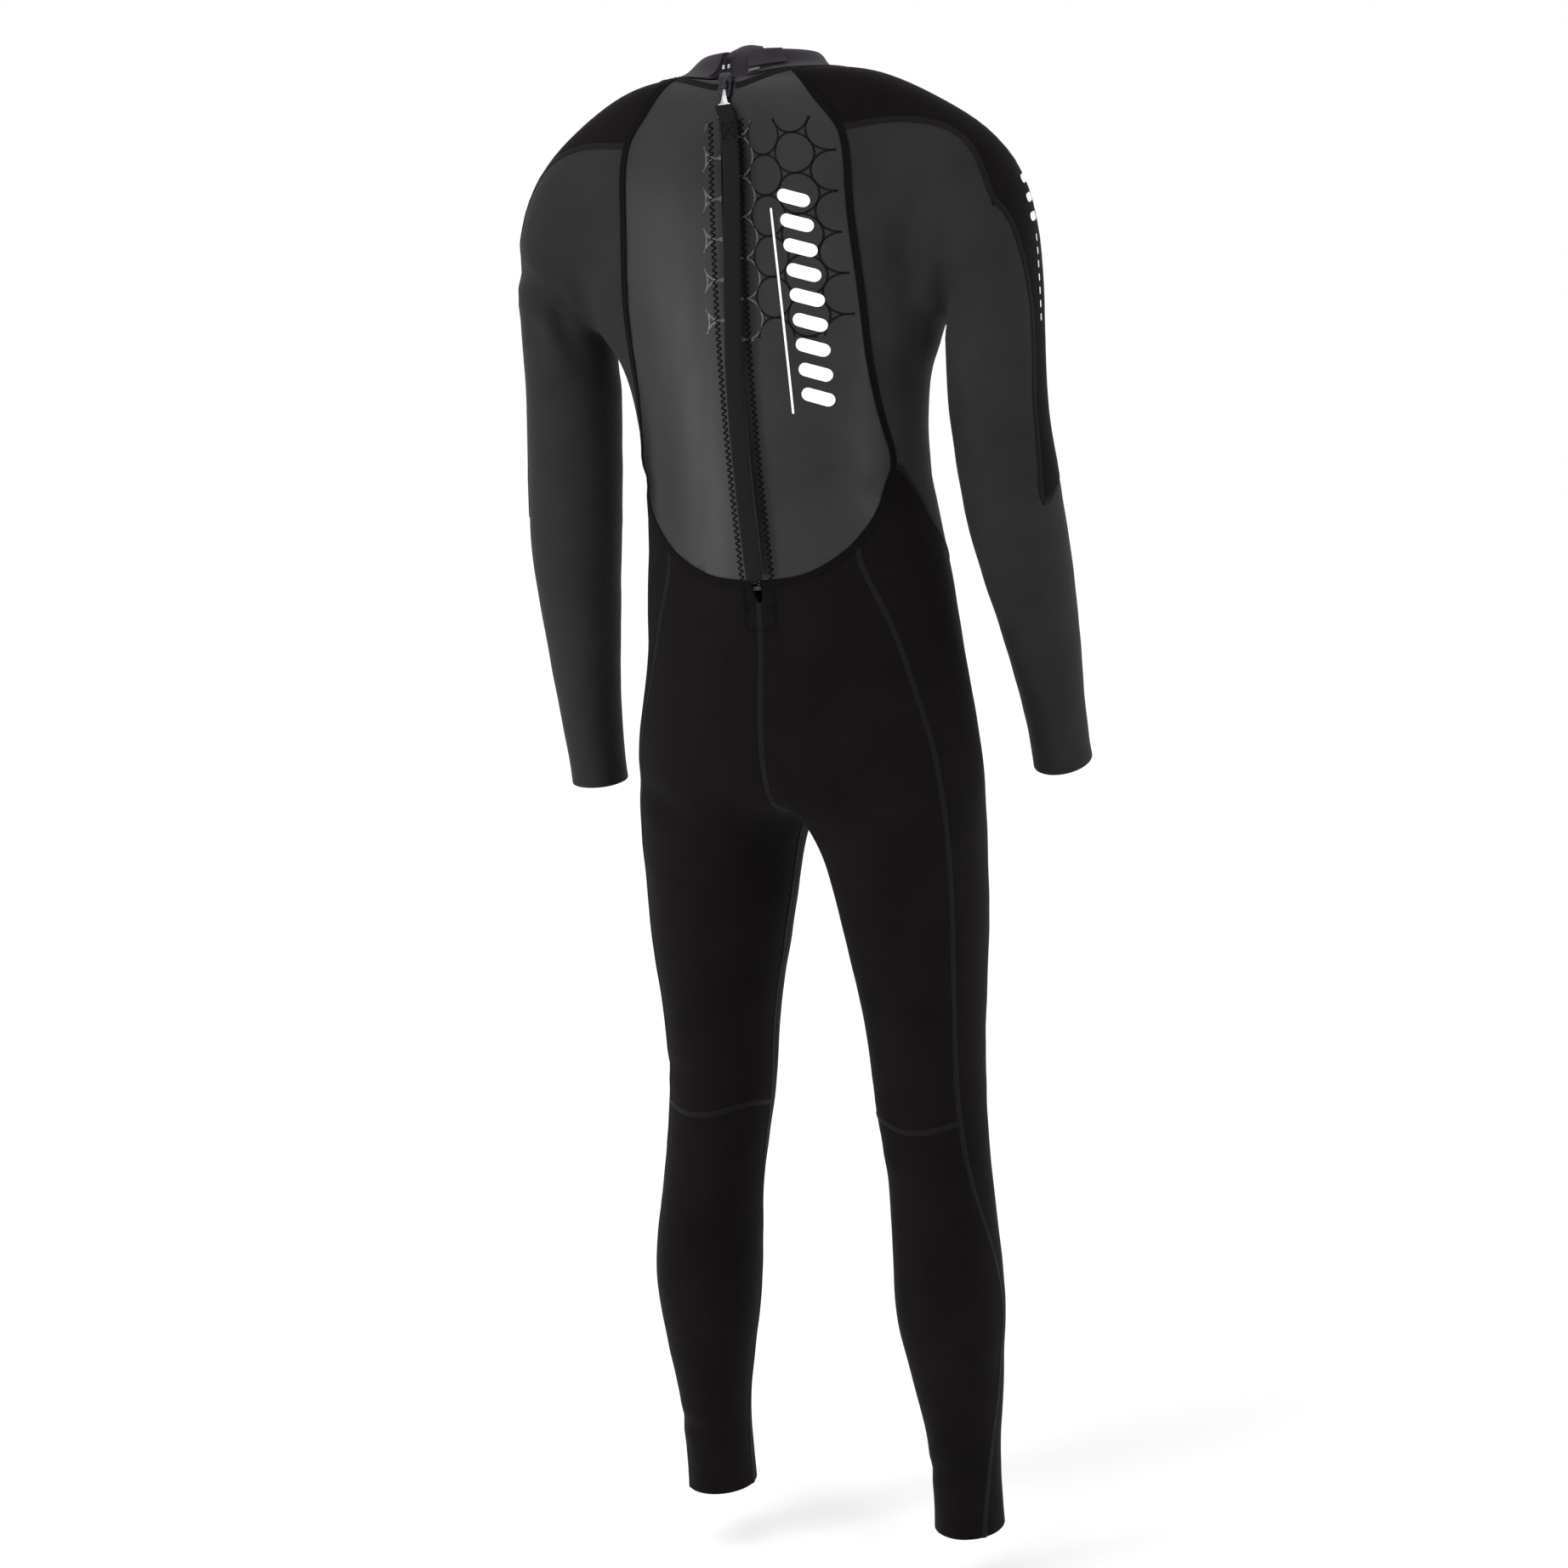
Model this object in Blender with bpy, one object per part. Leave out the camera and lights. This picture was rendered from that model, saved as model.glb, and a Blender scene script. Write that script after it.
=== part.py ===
"""Full-length wetsuit with a back zip, standing as on a figure.

Metres, +Z up.  The wearer faces -Y and the wearer's left is +X.  The origin is the
middle of the neck opening, level with the neck seam.  Heights in the tables are above
the floor, and z = height - NECK_HEIGHT.
"""
import math

import bmesh
import bpy
from mathutils import Vector
from mathutils.bvhtree import BVHTree

# ---------------------------------------------------------------- driving dimensions
NECK_HEIGHT = 1.520      # neck seam above the floor
SHEET = 0.003            # neoprene thickness
SEAM_GAP = 0.0003        # half of the gap left between two panels
SNAP = 0.0022            # a mesh point nearer than this to a seam counts as on it

SIDE_SHIFT = 0.017       # the hips stand this far to the wearer's right of the neck
SHIFT_FROM = 1.02        # height where that sideways shift is complete
ARM_SHIFT = 0.007        # both arms hang this far to the wearer's right of the neck
SQUARENESS = 0.88        # below 1 the torso section is squarer than an ellipse

# height, half width, back depth, front depth, centre y
TORSO = (
    (0.840, 0.184, 0.112, 0.094, -0.008),
    (0.900, 0.180, 0.124, 0.096, -0.008),
    (0.970, 0.166, 0.110, 0.100, -0.008),
    (1.050, 0.160, 0.104, 0.098, -0.002),
    (1.140, 0.145, 0.107, 0.096, 0.006),
    (1.220, 0.148, 0.105, 0.098, 0.012),
    (1.280, 0.161, 0.104, 0.106, 0.014),
    (1.390, 0.196, 0.0965, 0.100, 0.016),
    (1.510, 0.192, 0.072, 0.062, 0.024),
    (1.545, 0.124, 0.060, 0.056, 0.026),
    (1.545, 0.074, 0.052, 0.060, 0.014),
)
ARMHOLE_RINGS = (6, 7, 8)          # rows of TORSO that the armhole spans
# height, distance from the middle, y, half width, half depth, tilt of the ring
UPPER_ARM = (
    (1.384, 0.233, 0.014, 0.078, 0.066, 1.02),
    (1.285, 0.229, 0.012, 0.052, 0.060, 0.40),
    (1.200, 0.230, 0.010, 0.047, 0.054, 0.15),
    (1.130, 0.238, 0.006, 0.048, 0.052, 0.08),
)
# distance below the elbow, distance from the middle, half width, half depth
FOREARM = (
    (0.060, 0.243, 0.046, 0.049),
    (0.130, 0.247, 0.040, 0.044),
    (0.200, 0.249, 0.033, 0.036),
    (0.265, 0.249, 0.029, 0.031),
    (0.297, 0.249, 0.030, 0.032),
)
ELBOW = (0.238, 0.006, 1.130)      # distance from the middle, y, height
ELBOW_REST = {"left": 9.0, "right": 22.0}   # degrees each forearm is bent at rest
# height, distance from the middle, y, half width, half depth
LEG = (
    (0.785, 0.1005, -0.008, 0.0815, 0.098),
    (0.720, 0.1065, -0.010, 0.0765, 0.089),
    (0.650, 0.1130, -0.010, 0.0670, 0.080),
    (0.580, 0.1165, -0.010, 0.0580, 0.070),
    (0.510, 0.1190, -0.008, 0.0560, 0.062),
    (0.440, 0.1290, 0.000, 0.0510, 0.058),
    (0.380, 0.1365, 0.010, 0.0540, 0.062),
    (0.310, 0.1400, 0.014, 0.0580, 0.062),
    (0.240, 0.1440, 0.010, 0.0480, 0.053),
    (0.170, 0.1465, 0.004, 0.0370, 0.044),
    (0.110, 0.1470, 0.000, 0.0335, 0.041),
    (0.068, 0.1480, -0.002, 0.0355, 0.043),
)
FOOT_FORWARD = {"left": 0.033, "right": 0.0}    # how far forward each leg stands at the floor
STRIDE_FROM = 0.80                 # height where that slope starts
CROTCH = (-0.006, 0.835)           # y, height

KNEE = (0.119, -0.010, 0.510)      # distance from the middle, y, height
KNEE_ZONE = 0.090                  # soft zone above and below the knee axis
ELBOW_ZONE = 0.085                 # soft zone above and below the elbow axis

# seams, as points that a smooth curve passes through
BACK_PANEL_EDGE = ((1.00, 78), (1.145, 74), (1.20, 66), (1.27, 59), (1.40, 55), (1.482, 56),
                   (1.512, 50), (1.56, 42))                       # height, degrees from back
CHEST_PANEL_EDGE = ((1.00, 128), (1.15, 124), (1.27, 121), (1.40, 119), (1.48, 121),
                    (1.56, 130))                                  # height, degrees from back
WAIST_SEAM = ((0, 1.052), (27, 1.056), (40, 1.067), (52, 1.086), (62, 1.116), (68, 1.144),
              (72, 1.166), (93, 1.096), (113, 1.060), (140, 1.044),
              (180, 1.038))                                       # degrees from back, height
YOKE_SEAM = ((0.06, 1.478), (0.12, 1.482), (0.169, 1.487), (0.219, 1.474), (0.240, 1.448),
             (0.256, 1.400), (0.270, 1.340))                      # from the middle, height
STRIPE_BACK = ((1.115, 60), (1.21, 62), (1.315, 62), (1.382, 43), (1.42, 33))
STRIPE_FRONT = ((1.115, 60), (1.15, 112), (1.21, 122), (1.30, 128), (1.382, 137), (1.42, 147))
STRIPE_BELOW = 1.400               # the yoke is a stripe round the arm below this height
OUTER_LEG_SEAM = ((0.07, 45), (0.14, 60), (0.22, 74), (0.28, 79), (0.33, 79), (0.39, 68),
                  (0.44, 60), (0.51, 56), (0.755, 56), (0.85, 53), (0.92, 46), (1.00, 36),
                  (1.07, 20))                                     # height, degrees round the leg
LEG_AXIS = ((0.075, 0.148), (0.31, 0.140), (0.51, 0.119), (0.785, 0.1005), (0.90, 0.092),
            (1.07, 0.070))                                        # height, from the middle
TORSO_RADIUS, ARM_RADIUS, LEG_RADIUS = 0.13, 0.05, 0.07   # turn angles into lengths
SHOULDER_HEIGHT = 1.42             # the neck hole is looked for above this only
ARM_AXIS = ((1.115, 0.238), (1.20, 0.230), (1.285, 0.229), (1.42, 0.222))
ARM_AXIS_Y = 0.008
LEG_AXIS_Y = 0.002
TORSO_AXIS_Y = 0.010               # the degrees round the torso are counted about this y
INNER_LEG_SEAM = -100.0            # degrees round the leg

# collar
NECK_HALF = (0.093, 0.067)         # half width and half depth of the neck seam
NECK_Y = 0.020
RIM_HALF = (0.058, 0.056)
RIM_Y = 0.002
RIM_RISE = 0.046                   # rim above the origin
COLLAR_OPEN = 0.018                # half width of the collar's opening at the back
COLLAR_INSET = 0.0006              # the collar's foot stands inside the neck seam
COLLAR_GAP = 0.0012                # and this far above the shoulders
COLLAR_LEAN = 0.35                 # upward slope of the collar's outward direction
COLLAR_HOLLOW = 0.010              # depth of the hollow in its profile

# zip: an arc in the plane of the middle of the back
ZIP_CREST = (0.1175, 1.250)        # y and height of the arc's furthest point back
ZIP_RADIUS = 1.400
ZIP_TOP = 1.545                    # height of the chain's upper end
ZIP_BOTTOM = 1.045
SLIT_BOTTOM = 1.018                # the slit runs on below the chain, into the seat panels
ZIP_SLOT = 0.005                   # half width of the slot between the back panels
TEETH = (0.0016, 0.0040)           # a chain half's inner and outer edge from the middle
TEETH_HALF_THICK = 0.0013
TAPE = (0.0046, 0.020)             # a tape's inner and outer edge from the middle
TAPE_THICKNESS = 0.0009
TAPE_GAP = 0.0008                  # between a tape and the panel over it
TAPE_TOP = 1.494
BACKING = (0.034, 0.0080, 0.0025)  # backing flap: half width, gap under the panels, thickness
BACKING_TOP = 1.480
STOP_LENGTH = 0.004
SLIDER_LENGTH = 0.024
SLIDER_HALF = 0.007
SLIDER_TOP = 0.004                 # slider's upper end below the chain's upper end
TAB_LENGTH = 0.044                 # tab's lower end below the slider's upper end
STRAP_WIDTH = 0.018
STRAP_THICKNESS = 0.0018
STRAP_LIFT = 0.012                 # strap's middle above the zip arc
STRAP_LINE = ((1.04, -0.003), (1.25, -0.003), (1.31, -0.006), (1.44, -0.010), (1.485, -0.007),
              (1.509, 0.0))        # height, how far to the wearer's left the strap hangs
STRAP_END = 1.058                  # height of the strap's cut end
STRAP_LAP = 0.012                  # the strap starts this far above the tab's lower end
STRAP_DIP = (0.0078, 0.040)        # lift of its upper end, and the length of its rise

BINDING_WIDTH = 0.008
BINDING_THICKNESS = 0.001
BINDING_LIFT = 0.0009              # tape's underside above the panels
BINDING_ENDS = (1.146, 1.500)

BLACK = ((0.012, 0.011, 0.012), 0.75)
CHARCOAL = ((0.030, 0.031, 0.032), 0.7)
RUBBER = ((0.075, 0.073, 0.072), 0.35)
WEBBING = ((0.014, 0.014, 0.014), 0.8)
GREY = ((0.20, 0.20, 0.20), 0.6)
METAL = ((0.62, 0.62, 0.64), 0.25)
NYLON = ((0.010, 0.010, 0.010), 0.4)

SIDES = (("right", -1), ("left", 1))


# ---------------------------------------------------------------- small helpers
def up(height):
    """z of a height above the floor."""
    return height - NECK_HEIGHT


def middle_x(height):
    """x of the figure's middle plane at a height."""
    drop = (NECK_HEIGHT - height) / (NECK_HEIGHT - SHIFT_FROM)
    return -SIDE_SHIFT * min(max(drop, 0.0), 1.0)


def curve(points, at):
    """Smooth (Catmull-Rom) value of a table at one place; flat beyond its ends."""
    if at <= points[0][0]:
        return points[0][1]
    if at >= points[-1][0]:
        return points[-1][1]
    i = max(k for k, p in enumerate(points) if p[0] <= at)
    (x1, y1), (x2, y2) = points[i], points[i + 1]
    x0, y0 = points[i - 1] if i else (2 * x1 - x2, 2 * y1 - y2)
    x3, y3 = points[i + 2] if i + 2 < len(points) else (2 * x2 - x1, 2 * y2 - y1)
    t = (at - x1) / (x2 - x1)
    m1 = (y2 - y0) / (x2 - x0) * (x2 - x1)
    m2 = (y3 - y1) / (x3 - x1) * (x2 - x1)
    a = 2 * t ** 3 - 3 * t ** 2 + 1
    b = t ** 3 - 2 * t ** 2 + t
    c = 3 * t ** 2 - 2 * t ** 3
    d = t ** 3 - t ** 2
    return a * y1 + b * m1 + c * y2 + d * m2


def swell(count):
    """How much bigger a control ring of `count` points is than its smooth limit."""
    return 3 / (2 + math.cos(2 * math.pi / count))


def power(value):
    """Signed power that squares off an ellipse."""
    return math.copysign(abs(value) ** SQUARENESS, value)


def spread(first, last, count):
    return [first + (last - first) * k / (count - 1) for k in range(count)]


def material(name, finish, metallic=0.0):
    made = bpy.data.materials.get(name) or bpy.data.materials.new(name)
    made.use_nodes = True
    shader = made.node_tree.nodes["Principled BSDF"]
    shader.inputs["Base Color"].default_value = (*finish[0], 1)
    shader.inputs["Roughness"].default_value = finish[1]
    shader.inputs["Metallic"].default_value = metallic
    return made


def add_object(name, verts, faces, mat):
    """One named object from points and faces; faces are turned outward."""
    mesh = bpy.data.meshes.new(name)
    mesh.from_pydata([tuple(v) for v in verts], [], faces)
    bm = bmesh.new()
    bm.from_mesh(mesh)
    bmesh.ops.recalc_face_normals(bm, faces=bm.faces)
    bm.to_mesh(mesh)
    bm.free()
    mesh.materials.append(mat)
    mesh.shade_smooth()
    mesh.set_sharp_from_angle(angle=math.radians(40))
    made = bpy.data.objects.new(name, mesh)
    bpy.context.collection.objects.link(made)
    return made


def loft(name, rings, mat):
    """One closed bar through rings of equal size, with flat ends."""
    size = len(rings[0])
    verts = [v for ring in rings for v in ring]
    faces = [list(range(size)), [len(verts) - 1 - k for k in range(size)]]
    for i in range(len(rings) - 1):
        for k in range(size):
            n = (k + 1) % size
            faces.append([i * size + k, i * size + n, (i + 1) * size + n, (i + 1) * size + k])
    return add_object(name, verts, faces, mat)


# ---------------------------------------------------------------- the figure's surface
def torso_ring(height, half, back, front, centre):
    """12 control points from the middle of the back round by the wearer's right."""
    size = swell(12)
    ring = []
    for k in range(12):
        turn = 2 * math.pi * k / 12
        depth = back if math.cos(turn) > 0 else front
        x = middle_x(height) - half * size * power(math.sin(turn))
        y = centre + depth * size * power(math.cos(turn))
        ring.append((x, y, up(height)))
    return ring


def arm_rings(side, sign):
    """Control rings of one sleeve from the shoulder to the wrist."""
    size = swell(8)
    bend = math.radians(ELBOW_REST[side])
    rows = [(h, x, y, rx, ry, tilt, 0.0) for h, x, y, rx, ry, tilt in UPPER_ARM]
    for below, x, rx, ry in FOREARM:
        rows.append((ELBOW[2] - below * math.cos(bend), x, ELBOW[1] - below * math.sin(bend),
                     rx, ry, 0.03, bend))
    rings = []
    for height, out, y, rx, ry, tilt, lean in rows:
        ring = []
        for k in range(8):
            turn = 2 * math.pi * k / 8
            along = rx * size * math.cos(turn)
            deep = ry * size * math.sin(turn)
            ring.append((sign * (out + along * math.cos(tilt)) - ARM_SHIFT,
                         y + deep * math.cos(lean),
                         up(height) + along * math.sin(tilt) - deep * math.sin(lean)))
        rings.append(ring)
    return rings


def foot_forward(side, height):
    """How far forward of the hip the leg stands at a height."""
    return FOOT_FORWARD[side] * max(STRIDE_FROM - height, 0.0) / STRIDE_FROM


def leg_rings(side, sign):
    """Control rings of one leg from the thigh to the ankle."""
    size = swell(8)
    rings = []
    for height, out, y, rx, ry in LEG:
        forward = foot_forward(side, height)
        ring = []
        for k in range(8):
            turn = 2 * math.pi * k / 8 - math.pi / 4
            ring.append((middle_x(height) + sign * (out + rx * size * math.sin(turn)),
                         y - forward + ry * size * math.cos(turn), up(height)))
        rings.append(ring)
    return rings


def control_cage():
    """Points and quads of the control cage; each quad carries its limb's number."""
    verts, quads, limbs = [], [], []

    def add(ring):
        verts.extend(ring)
        return list(range(len(verts) - len(ring), len(verts)))

    def join(upper, lower, limb, flip):
        count = len(upper)
        for k in range(count):
            n = (k + 1) % count
            quad = (upper[k], upper[n], lower[n], lower[k])
            quads.append(quad if flip else quad[::-1])
            limbs.append(limb)

    torso = [add(torso_ring(*row)) for row in TORSO]
    low, mid, top = ARMHOLE_RINGS
    for i in range(len(torso) - 1):
        for k in range(12):
            if low <= i < top and k in (2, 3, 8, 9):
                continue
            n = (k + 1) % 12
            quads.append((torso[i][k], torso[i][n], torso[i + 1][n], torso[i + 1][k]))
            limbs.append(0)
    crotch = add([(middle_x(CROTCH[1]), CROTCH[0], up(CROTCH[1]))])[0]
    for number, (side, sign) in enumerate(SIDES):
        def at(row, k):
            return torso[row][k if sign < 0 else (12 - k) % 12]
        hole = [at(top, 3), at(top, 2), at(mid, 2), at(low, 2), at(low, 3), at(low, 4),
                at(mid, 4), at(top, 4)]
        for ring in arm_rings(side, sign):
            ring = add(ring)
            join(hole, ring, 1 + number, sign < 0)
            hole = ring
        hole = [at(0, k) for k in range(7)] + [crotch]
        for ring in leg_rings(side, sign):
            ring = add(ring)
            join(hole, ring, 3 + number, sign > 0)
            hole = ring
    return verts, quads, limbs


def smooth_body(levels=1):
    """The control cage's smooth limit surface as a bmesh; material_index is the limb."""
    verts, quads, limbs = control_cage()
    mesh = bpy.data.meshes.new("figure")
    mesh.from_pydata(verts, [], quads)
    for _ in range(5):
        mesh.materials.append(None)
    mesh.polygons.foreach_set("material_index", limbs)
    figure = bpy.data.objects.new("figure", mesh)
    bpy.context.collection.objects.link(figure)
    smooth = figure.modifiers.new("smooth", "SUBSURF")
    smooth.levels = levels
    smooth.render_levels = levels
    seen = figure.evaluated_get(bpy.context.evaluated_depsgraph_get())
    result = bpy.data.meshes.new_from_object(seen)
    bm = bmesh.new()
    bm.from_mesh(result)
    bpy.data.objects.remove(figure)
    loose = [v for v in bm.verts if not v.link_faces]
    bmesh.ops.delete(bm, geom=loose, context="VERTS")
    bmesh.ops.recalc_face_normals(bm, faces=bm.faces)
    bm.normal_update()
    return bm


# ---------------------------------------------------------------- seams as fields
# Each field is positive inside its panel, negative outside, and zero on the seam.
def height_of(p):
    return p.z + NECK_HEIGHT


def round_torso(p):
    """Degrees round the torso, 0 at the middle of the back and 180 at the front."""
    return math.degrees(math.atan2(abs(left_half(p)), p.y - TORSO_AXIS_Y))


def zip_slot(p):
    height = height_of(p)
    return min(ZIP_SLOT - abs(p.x - middle_x(height)), height - SLIT_BOTTOM, p.y)


def left_half(p):
    return p.x - middle_x(height_of(p))


def neck_hole(p):
    reach = math.hypot(p.x / NECK_HALF[0], (p.y - NECK_Y) / NECK_HALF[1])
    return (1 - reach) * NECK_HALF[0] if height_of(p) > SHOULDER_HEIGHT else -1.0


def back_panel(p):
    height = height_of(p)
    turn = round_torso(p)
    across = math.radians(curve(BACK_PANEL_EDGE, height) - turn) * TORSO_RADIUS
    return min(across, height - curve(WAIST_SEAM, turn))


def chest_panel(p):
    height = height_of(p)
    turn = round_torso(p)
    across = math.radians(turn - curve(CHEST_PANEL_EDGE, height)) * TORSO_RADIUS
    return min(across, height - curve(WAIST_SEAM, turn))


def below_waist(p):
    return curve(WAIST_SEAM, round_torso(p)) - height_of(p)


def round_arm(p):
    """Degrees round the upper arm, 0 at the back, 90 outside, 180 at the front."""
    out = abs(p.x + ARM_SHIFT) - curve(ARM_AXIS, height_of(p))
    return math.degrees(math.atan2(out, p.y - ARM_AXIS_Y)) % 360


def yoke(p):
    height = height_of(p)
    if height > STRIPE_BELOW:
        return height - curve(YOKE_SEAM, abs(p.x))
    turn = round_arm(p)
    inside = min(turn - curve(STRIPE_BACK, height), curve(STRIPE_FRONT, height) - turn)
    return min(math.radians(inside) * ARM_RADIUS, height - STRIPE_BACK[0][0])


def round_leg(p):
    """Degrees round the leg, 0 at the back, 90 outside, negative on the inside."""
    height = height_of(p)
    side = "left" if left_half(p) > 0 else "right"
    out = abs(left_half(p)) - curve(LEG_AXIS, height)
    forward = foot_forward(side, height_of(p))
    return math.degrees(math.atan2(out, p.y + forward - LEG_AXIS_Y))


def back_of_leg(p):
    turn = round_leg(p)
    edge = curve(OUTER_LEG_SEAM, height_of(p))
    return math.radians(min(edge - turn, turn - INNER_LEG_SEAM)) * LEG_RADIUS


def below_knee_zone(p):
    return KNEE[2] - KNEE_ZONE - height_of(p)


def above_knee_zone(p):
    return height_of(p) - KNEE[2] - KNEE_ZONE


def elbow_point(sign):
    return Vector((sign * ELBOW[0] - ARM_SHIFT, ELBOW[1], up(ELBOW[2])))


def forearm_direction(side):
    bend = math.radians(ELBOW_REST[side])
    return Vector((0, -math.sin(bend), -math.cos(bend)))


def above_elbow_zone(p):
    return height_of(p) - ELBOW[2] - ELBOW_ZONE


def below_elbow_zone(p):
    side, sign = ("left", 1) if p.x > 0 else ("right", -1)
    return (p - elbow_point(sign)).dot(forearm_direction(side)) - ELBOW_ZONE


TRUNK, ARMS, LEGS = (0,), (1, 2), (3, 4)
CUTS = (
    ("slot", zip_slot, TRUNK),
    ("left", left_half, TRUNK),
    ("neck", neck_hole, TRUNK),
    ("back", back_panel, TRUNK + ARMS),
    ("chest", chest_panel, TRUNK + ARMS),
    ("lower", below_waist, TRUNK),
    ("yoke", yoke, TRUNK + ARMS),
    ("rear_leg", back_of_leg, TRUNK + LEGS),
    ("above_knee", above_knee_zone, LEGS),
    ("below_knee", below_knee_zone, LEGS),
    ("above_elbow", above_elbow_zone, ARMS),
    ("below_elbow", below_elbow_zone, ARMS),
)


def zero_between(a, b, field):
    """Share of the way from a to b where the field is zero, by halving."""
    low, high = 0.0, 1.0
    rising = field(a) < 0
    for _ in range(24):
        half = (low + high) / 2
        if (field(a.lerp(b, half)) < 0) == rising:
            low = half
        else:
            high = half
    return (low + high) / 2


def cut(bm, field, limbs, bit, layer):
    """Cuts the mesh along a field's zero line and marks the faces inside it."""
    faces = [f for f in bm.faces if f.material_index in limbs]
    value = {}
    for v in {v for f in faces for v in f.verts}:
        found = field(v.co)
        value[v] = 0.0 if abs(found) < SNAP else found
    for e in {e for f in faces for e in f.edges}:
        a, b = e.verts
        if value[a] * value[b] < 0:
            share = min(max(zero_between(a.co, b.co, field), 0.01), 0.99)
            _, fresh = bmesh.utils.edge_split(e, a, share)
            value[fresh] = 0.0
    todo = list(faces)
    while todo:
        f = todo.pop()
        ring = list(f.verts)
        count = len(ring)
        zeros = [i for i in range(count) if value.get(ring[i], 0.0) == 0.0]
        done = None
        for i in zeros:
            run = 1
            while run < count and value.get(ring[(i + run) % count], 0.0) != 0.0:
                run += 1
            if 1 < run < count - 1:
                inside = [value[ring[(i + k) % count]] for k in range(1, run)]
                rest = [value.get(ring[(i + k) % count], 0.0) for k in range(run + 1, count)]
                if inside[0] * min(rest) < 0 or inside[0] * max(rest) < 0:
                    done = (ring[i], ring[(i + run) % count])
                    break
        if done:
            fresh, _ = bmesh.utils.face_split(f, *done)
            todo += [f, fresh]
    for f in bm.faces:
        if f.material_index in limbs:
            strongest = max((value.get(v, 0.0) for v in f.verts), key=abs)
            if strongest == 0.0:
                strongest = field(f.calc_center_median())
            if strongest > 0:
                f[layer] |= 1 << bit


def panel_name(limb, marks):
    """Which panel a face belongs to, or None where the suit is open."""
    if "slot" in marks or "neck" in marks:
        return None
    if limb == 0:
        side = "left" if "left" in marks else "right"
    else:
        side = "right" if limb in (1, 3) else "left"
    if limb in LEGS and "above_knee" not in marks:
        if "below_knee" in marks:
            return ("calf_" if "rear_leg" in marks else "shin_") + side
        return ("knee_hollow_" if "rear_leg" in marks else "knee_pad_") + side
    if limb in LEGS or "lower" in marks:
        return ("seat_" if "rear_leg" in marks else "front_leg_") + side
    if limb in ARMS and "above_elbow" not in marks:
        if "below_elbow" in marks:
            return "forearm_" + side
        return "elbow_" + side
    if "back" in marks:
        return "back_panel_" + side
    if "chest" in marks:
        return "chest_panel"
    if "yoke" in marks:
        return "shoulder_yoke_" + side
    return "side_sleeve_" + side


# ---------------------------------------------------------------- panels as shells
def inset_of(vert, faces, normal):
    """Sideways move that takes a border point a seam gap into its own panel."""
    pushes = []
    for e in vert.link_edges:
        own = [f for f in e.link_faces if f in faces]
        if len(own) != 1:
            continue
        along = (e.other_vert(vert).co - vert.co).normalized()
        push = normal.cross(along).normalized()
        if push.dot(own[0].calc_center_median() - vert.co) < 0:
            push = -push
        pushes.append(push)
    if not pushes:
        return Vector()
    total = sum(pushes, Vector())
    if total.length < 1e-6:
        return Vector()
    total.normalize()
    lean = max(total.dot(pushes[0]), 0.35)
    return total * (SEAM_GAP / lean)


def shell(name, faces, mat):
    """A closed sheet of neoprene under the given faces of the figure."""
    own = set(faces)
    corners = {v for f in faces for v in f.verts}
    border = {v for v in corners if any(f not in own for f in v.link_faces)
              or any(e.is_boundary for e in v.link_edges)}
    index, verts = {}, []
    for v in corners:
        place = v.co.copy()
        if v in border:
            place += inset_of(v, own, v.normal)
        index[v] = len(verts)
        verts.append(place)
        verts.append(place - v.normal * SHEET)
    solid = []
    for f in faces:
        ring = [index[v] for v in f.verts]
        solid.append(ring)
        solid.append([i + 1 for i in reversed(ring)])
        for e in f.edges:
            if sum(1 for g in e.link_faces if g in own) == 1:
                k = next(i for i, v in enumerate(f.verts) if v in e.verts
                         and f.verts[(i + 1) % len(f.verts)] in e.verts)
                a = ring[k]
                b = ring[(k + 1) % len(ring)]
                solid.append([b, a, a + 1, b + 1])
    return add_object(name, verts, solid, mat)


def panel_material(name):
    if name.startswith(("back_panel", "chest_panel")):
        return material("smooth_rubber", RUBBER)
    if name.startswith(("side_sleeve", "elbow", "forearm")):
        return material("charcoal_neoprene", CHARCOAL)
    return material("black_neoprene", BLACK)


def build_panels(bm):
    layer = bm.faces.layers.int.new("marks")
    for bit, (_, field, limbs) in enumerate(CUTS):
        cut(bm, field, limbs, bit, layer)
    bm.normal_update()
    groups = {}
    for f in bm.faces:
        marks = {CUTS[bit][0] for bit in range(len(CUTS)) if f[layer] >> bit & 1}
        name = panel_name(f.material_index, marks)
        if name:
            groups.setdefault(name, []).append(f)
    for name in sorted(groups):
        shell(name, groups[name], panel_material(name))


# ---------------------------------------------------------------- zip and its arc
def zip_tilt():
    """Sideways slope of the zip, from the figure's sideways shift."""
    return SIDE_SHIFT / (NECK_HEIGHT - SHIFT_FROM)


def zip_axis():
    return Vector((1, 0, -zip_tilt())).normalized()


def zip_place(height, aside=0.0, lift=0.0):
    """A point on the zip arc at a height, moved sideways and outward."""
    rise = height - ZIP_CREST[1]
    angle = math.asin(rise / ZIP_RADIUS)
    reach = ZIP_RADIUS + lift
    y = ZIP_CREST[0] - ZIP_RADIUS + reach * math.cos(angle)
    z = up(ZIP_CREST[1]) + reach * math.sin(angle)
    x = -zip_tilt() * (NECK_HEIGHT - height)
    return Vector((x, y, z)) + zip_axis() * aside


def strip(name, heights, section, mat):
    """A bar along the zip arc; section(height) gives its (aside, lift) corners."""
    return loft(name, [[zip_place(h, *corner) for corner in section(h)] for h in heights], mat)


def box_section(a, b, low, high):
    return lambda height: ((a, low), (b, low), (b, high), (a, high))


def surface_lift(tree, height, aside):
    """How far the figure's surface stands outside the zip arc."""
    depth = 0.06
    start = zip_place(height, aside, -depth)
    way = (zip_place(height, aside, 0.0) - start).normalized()
    hit = tree.ray_cast(start, way)
    return (hit[0] - start).length - depth


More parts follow.
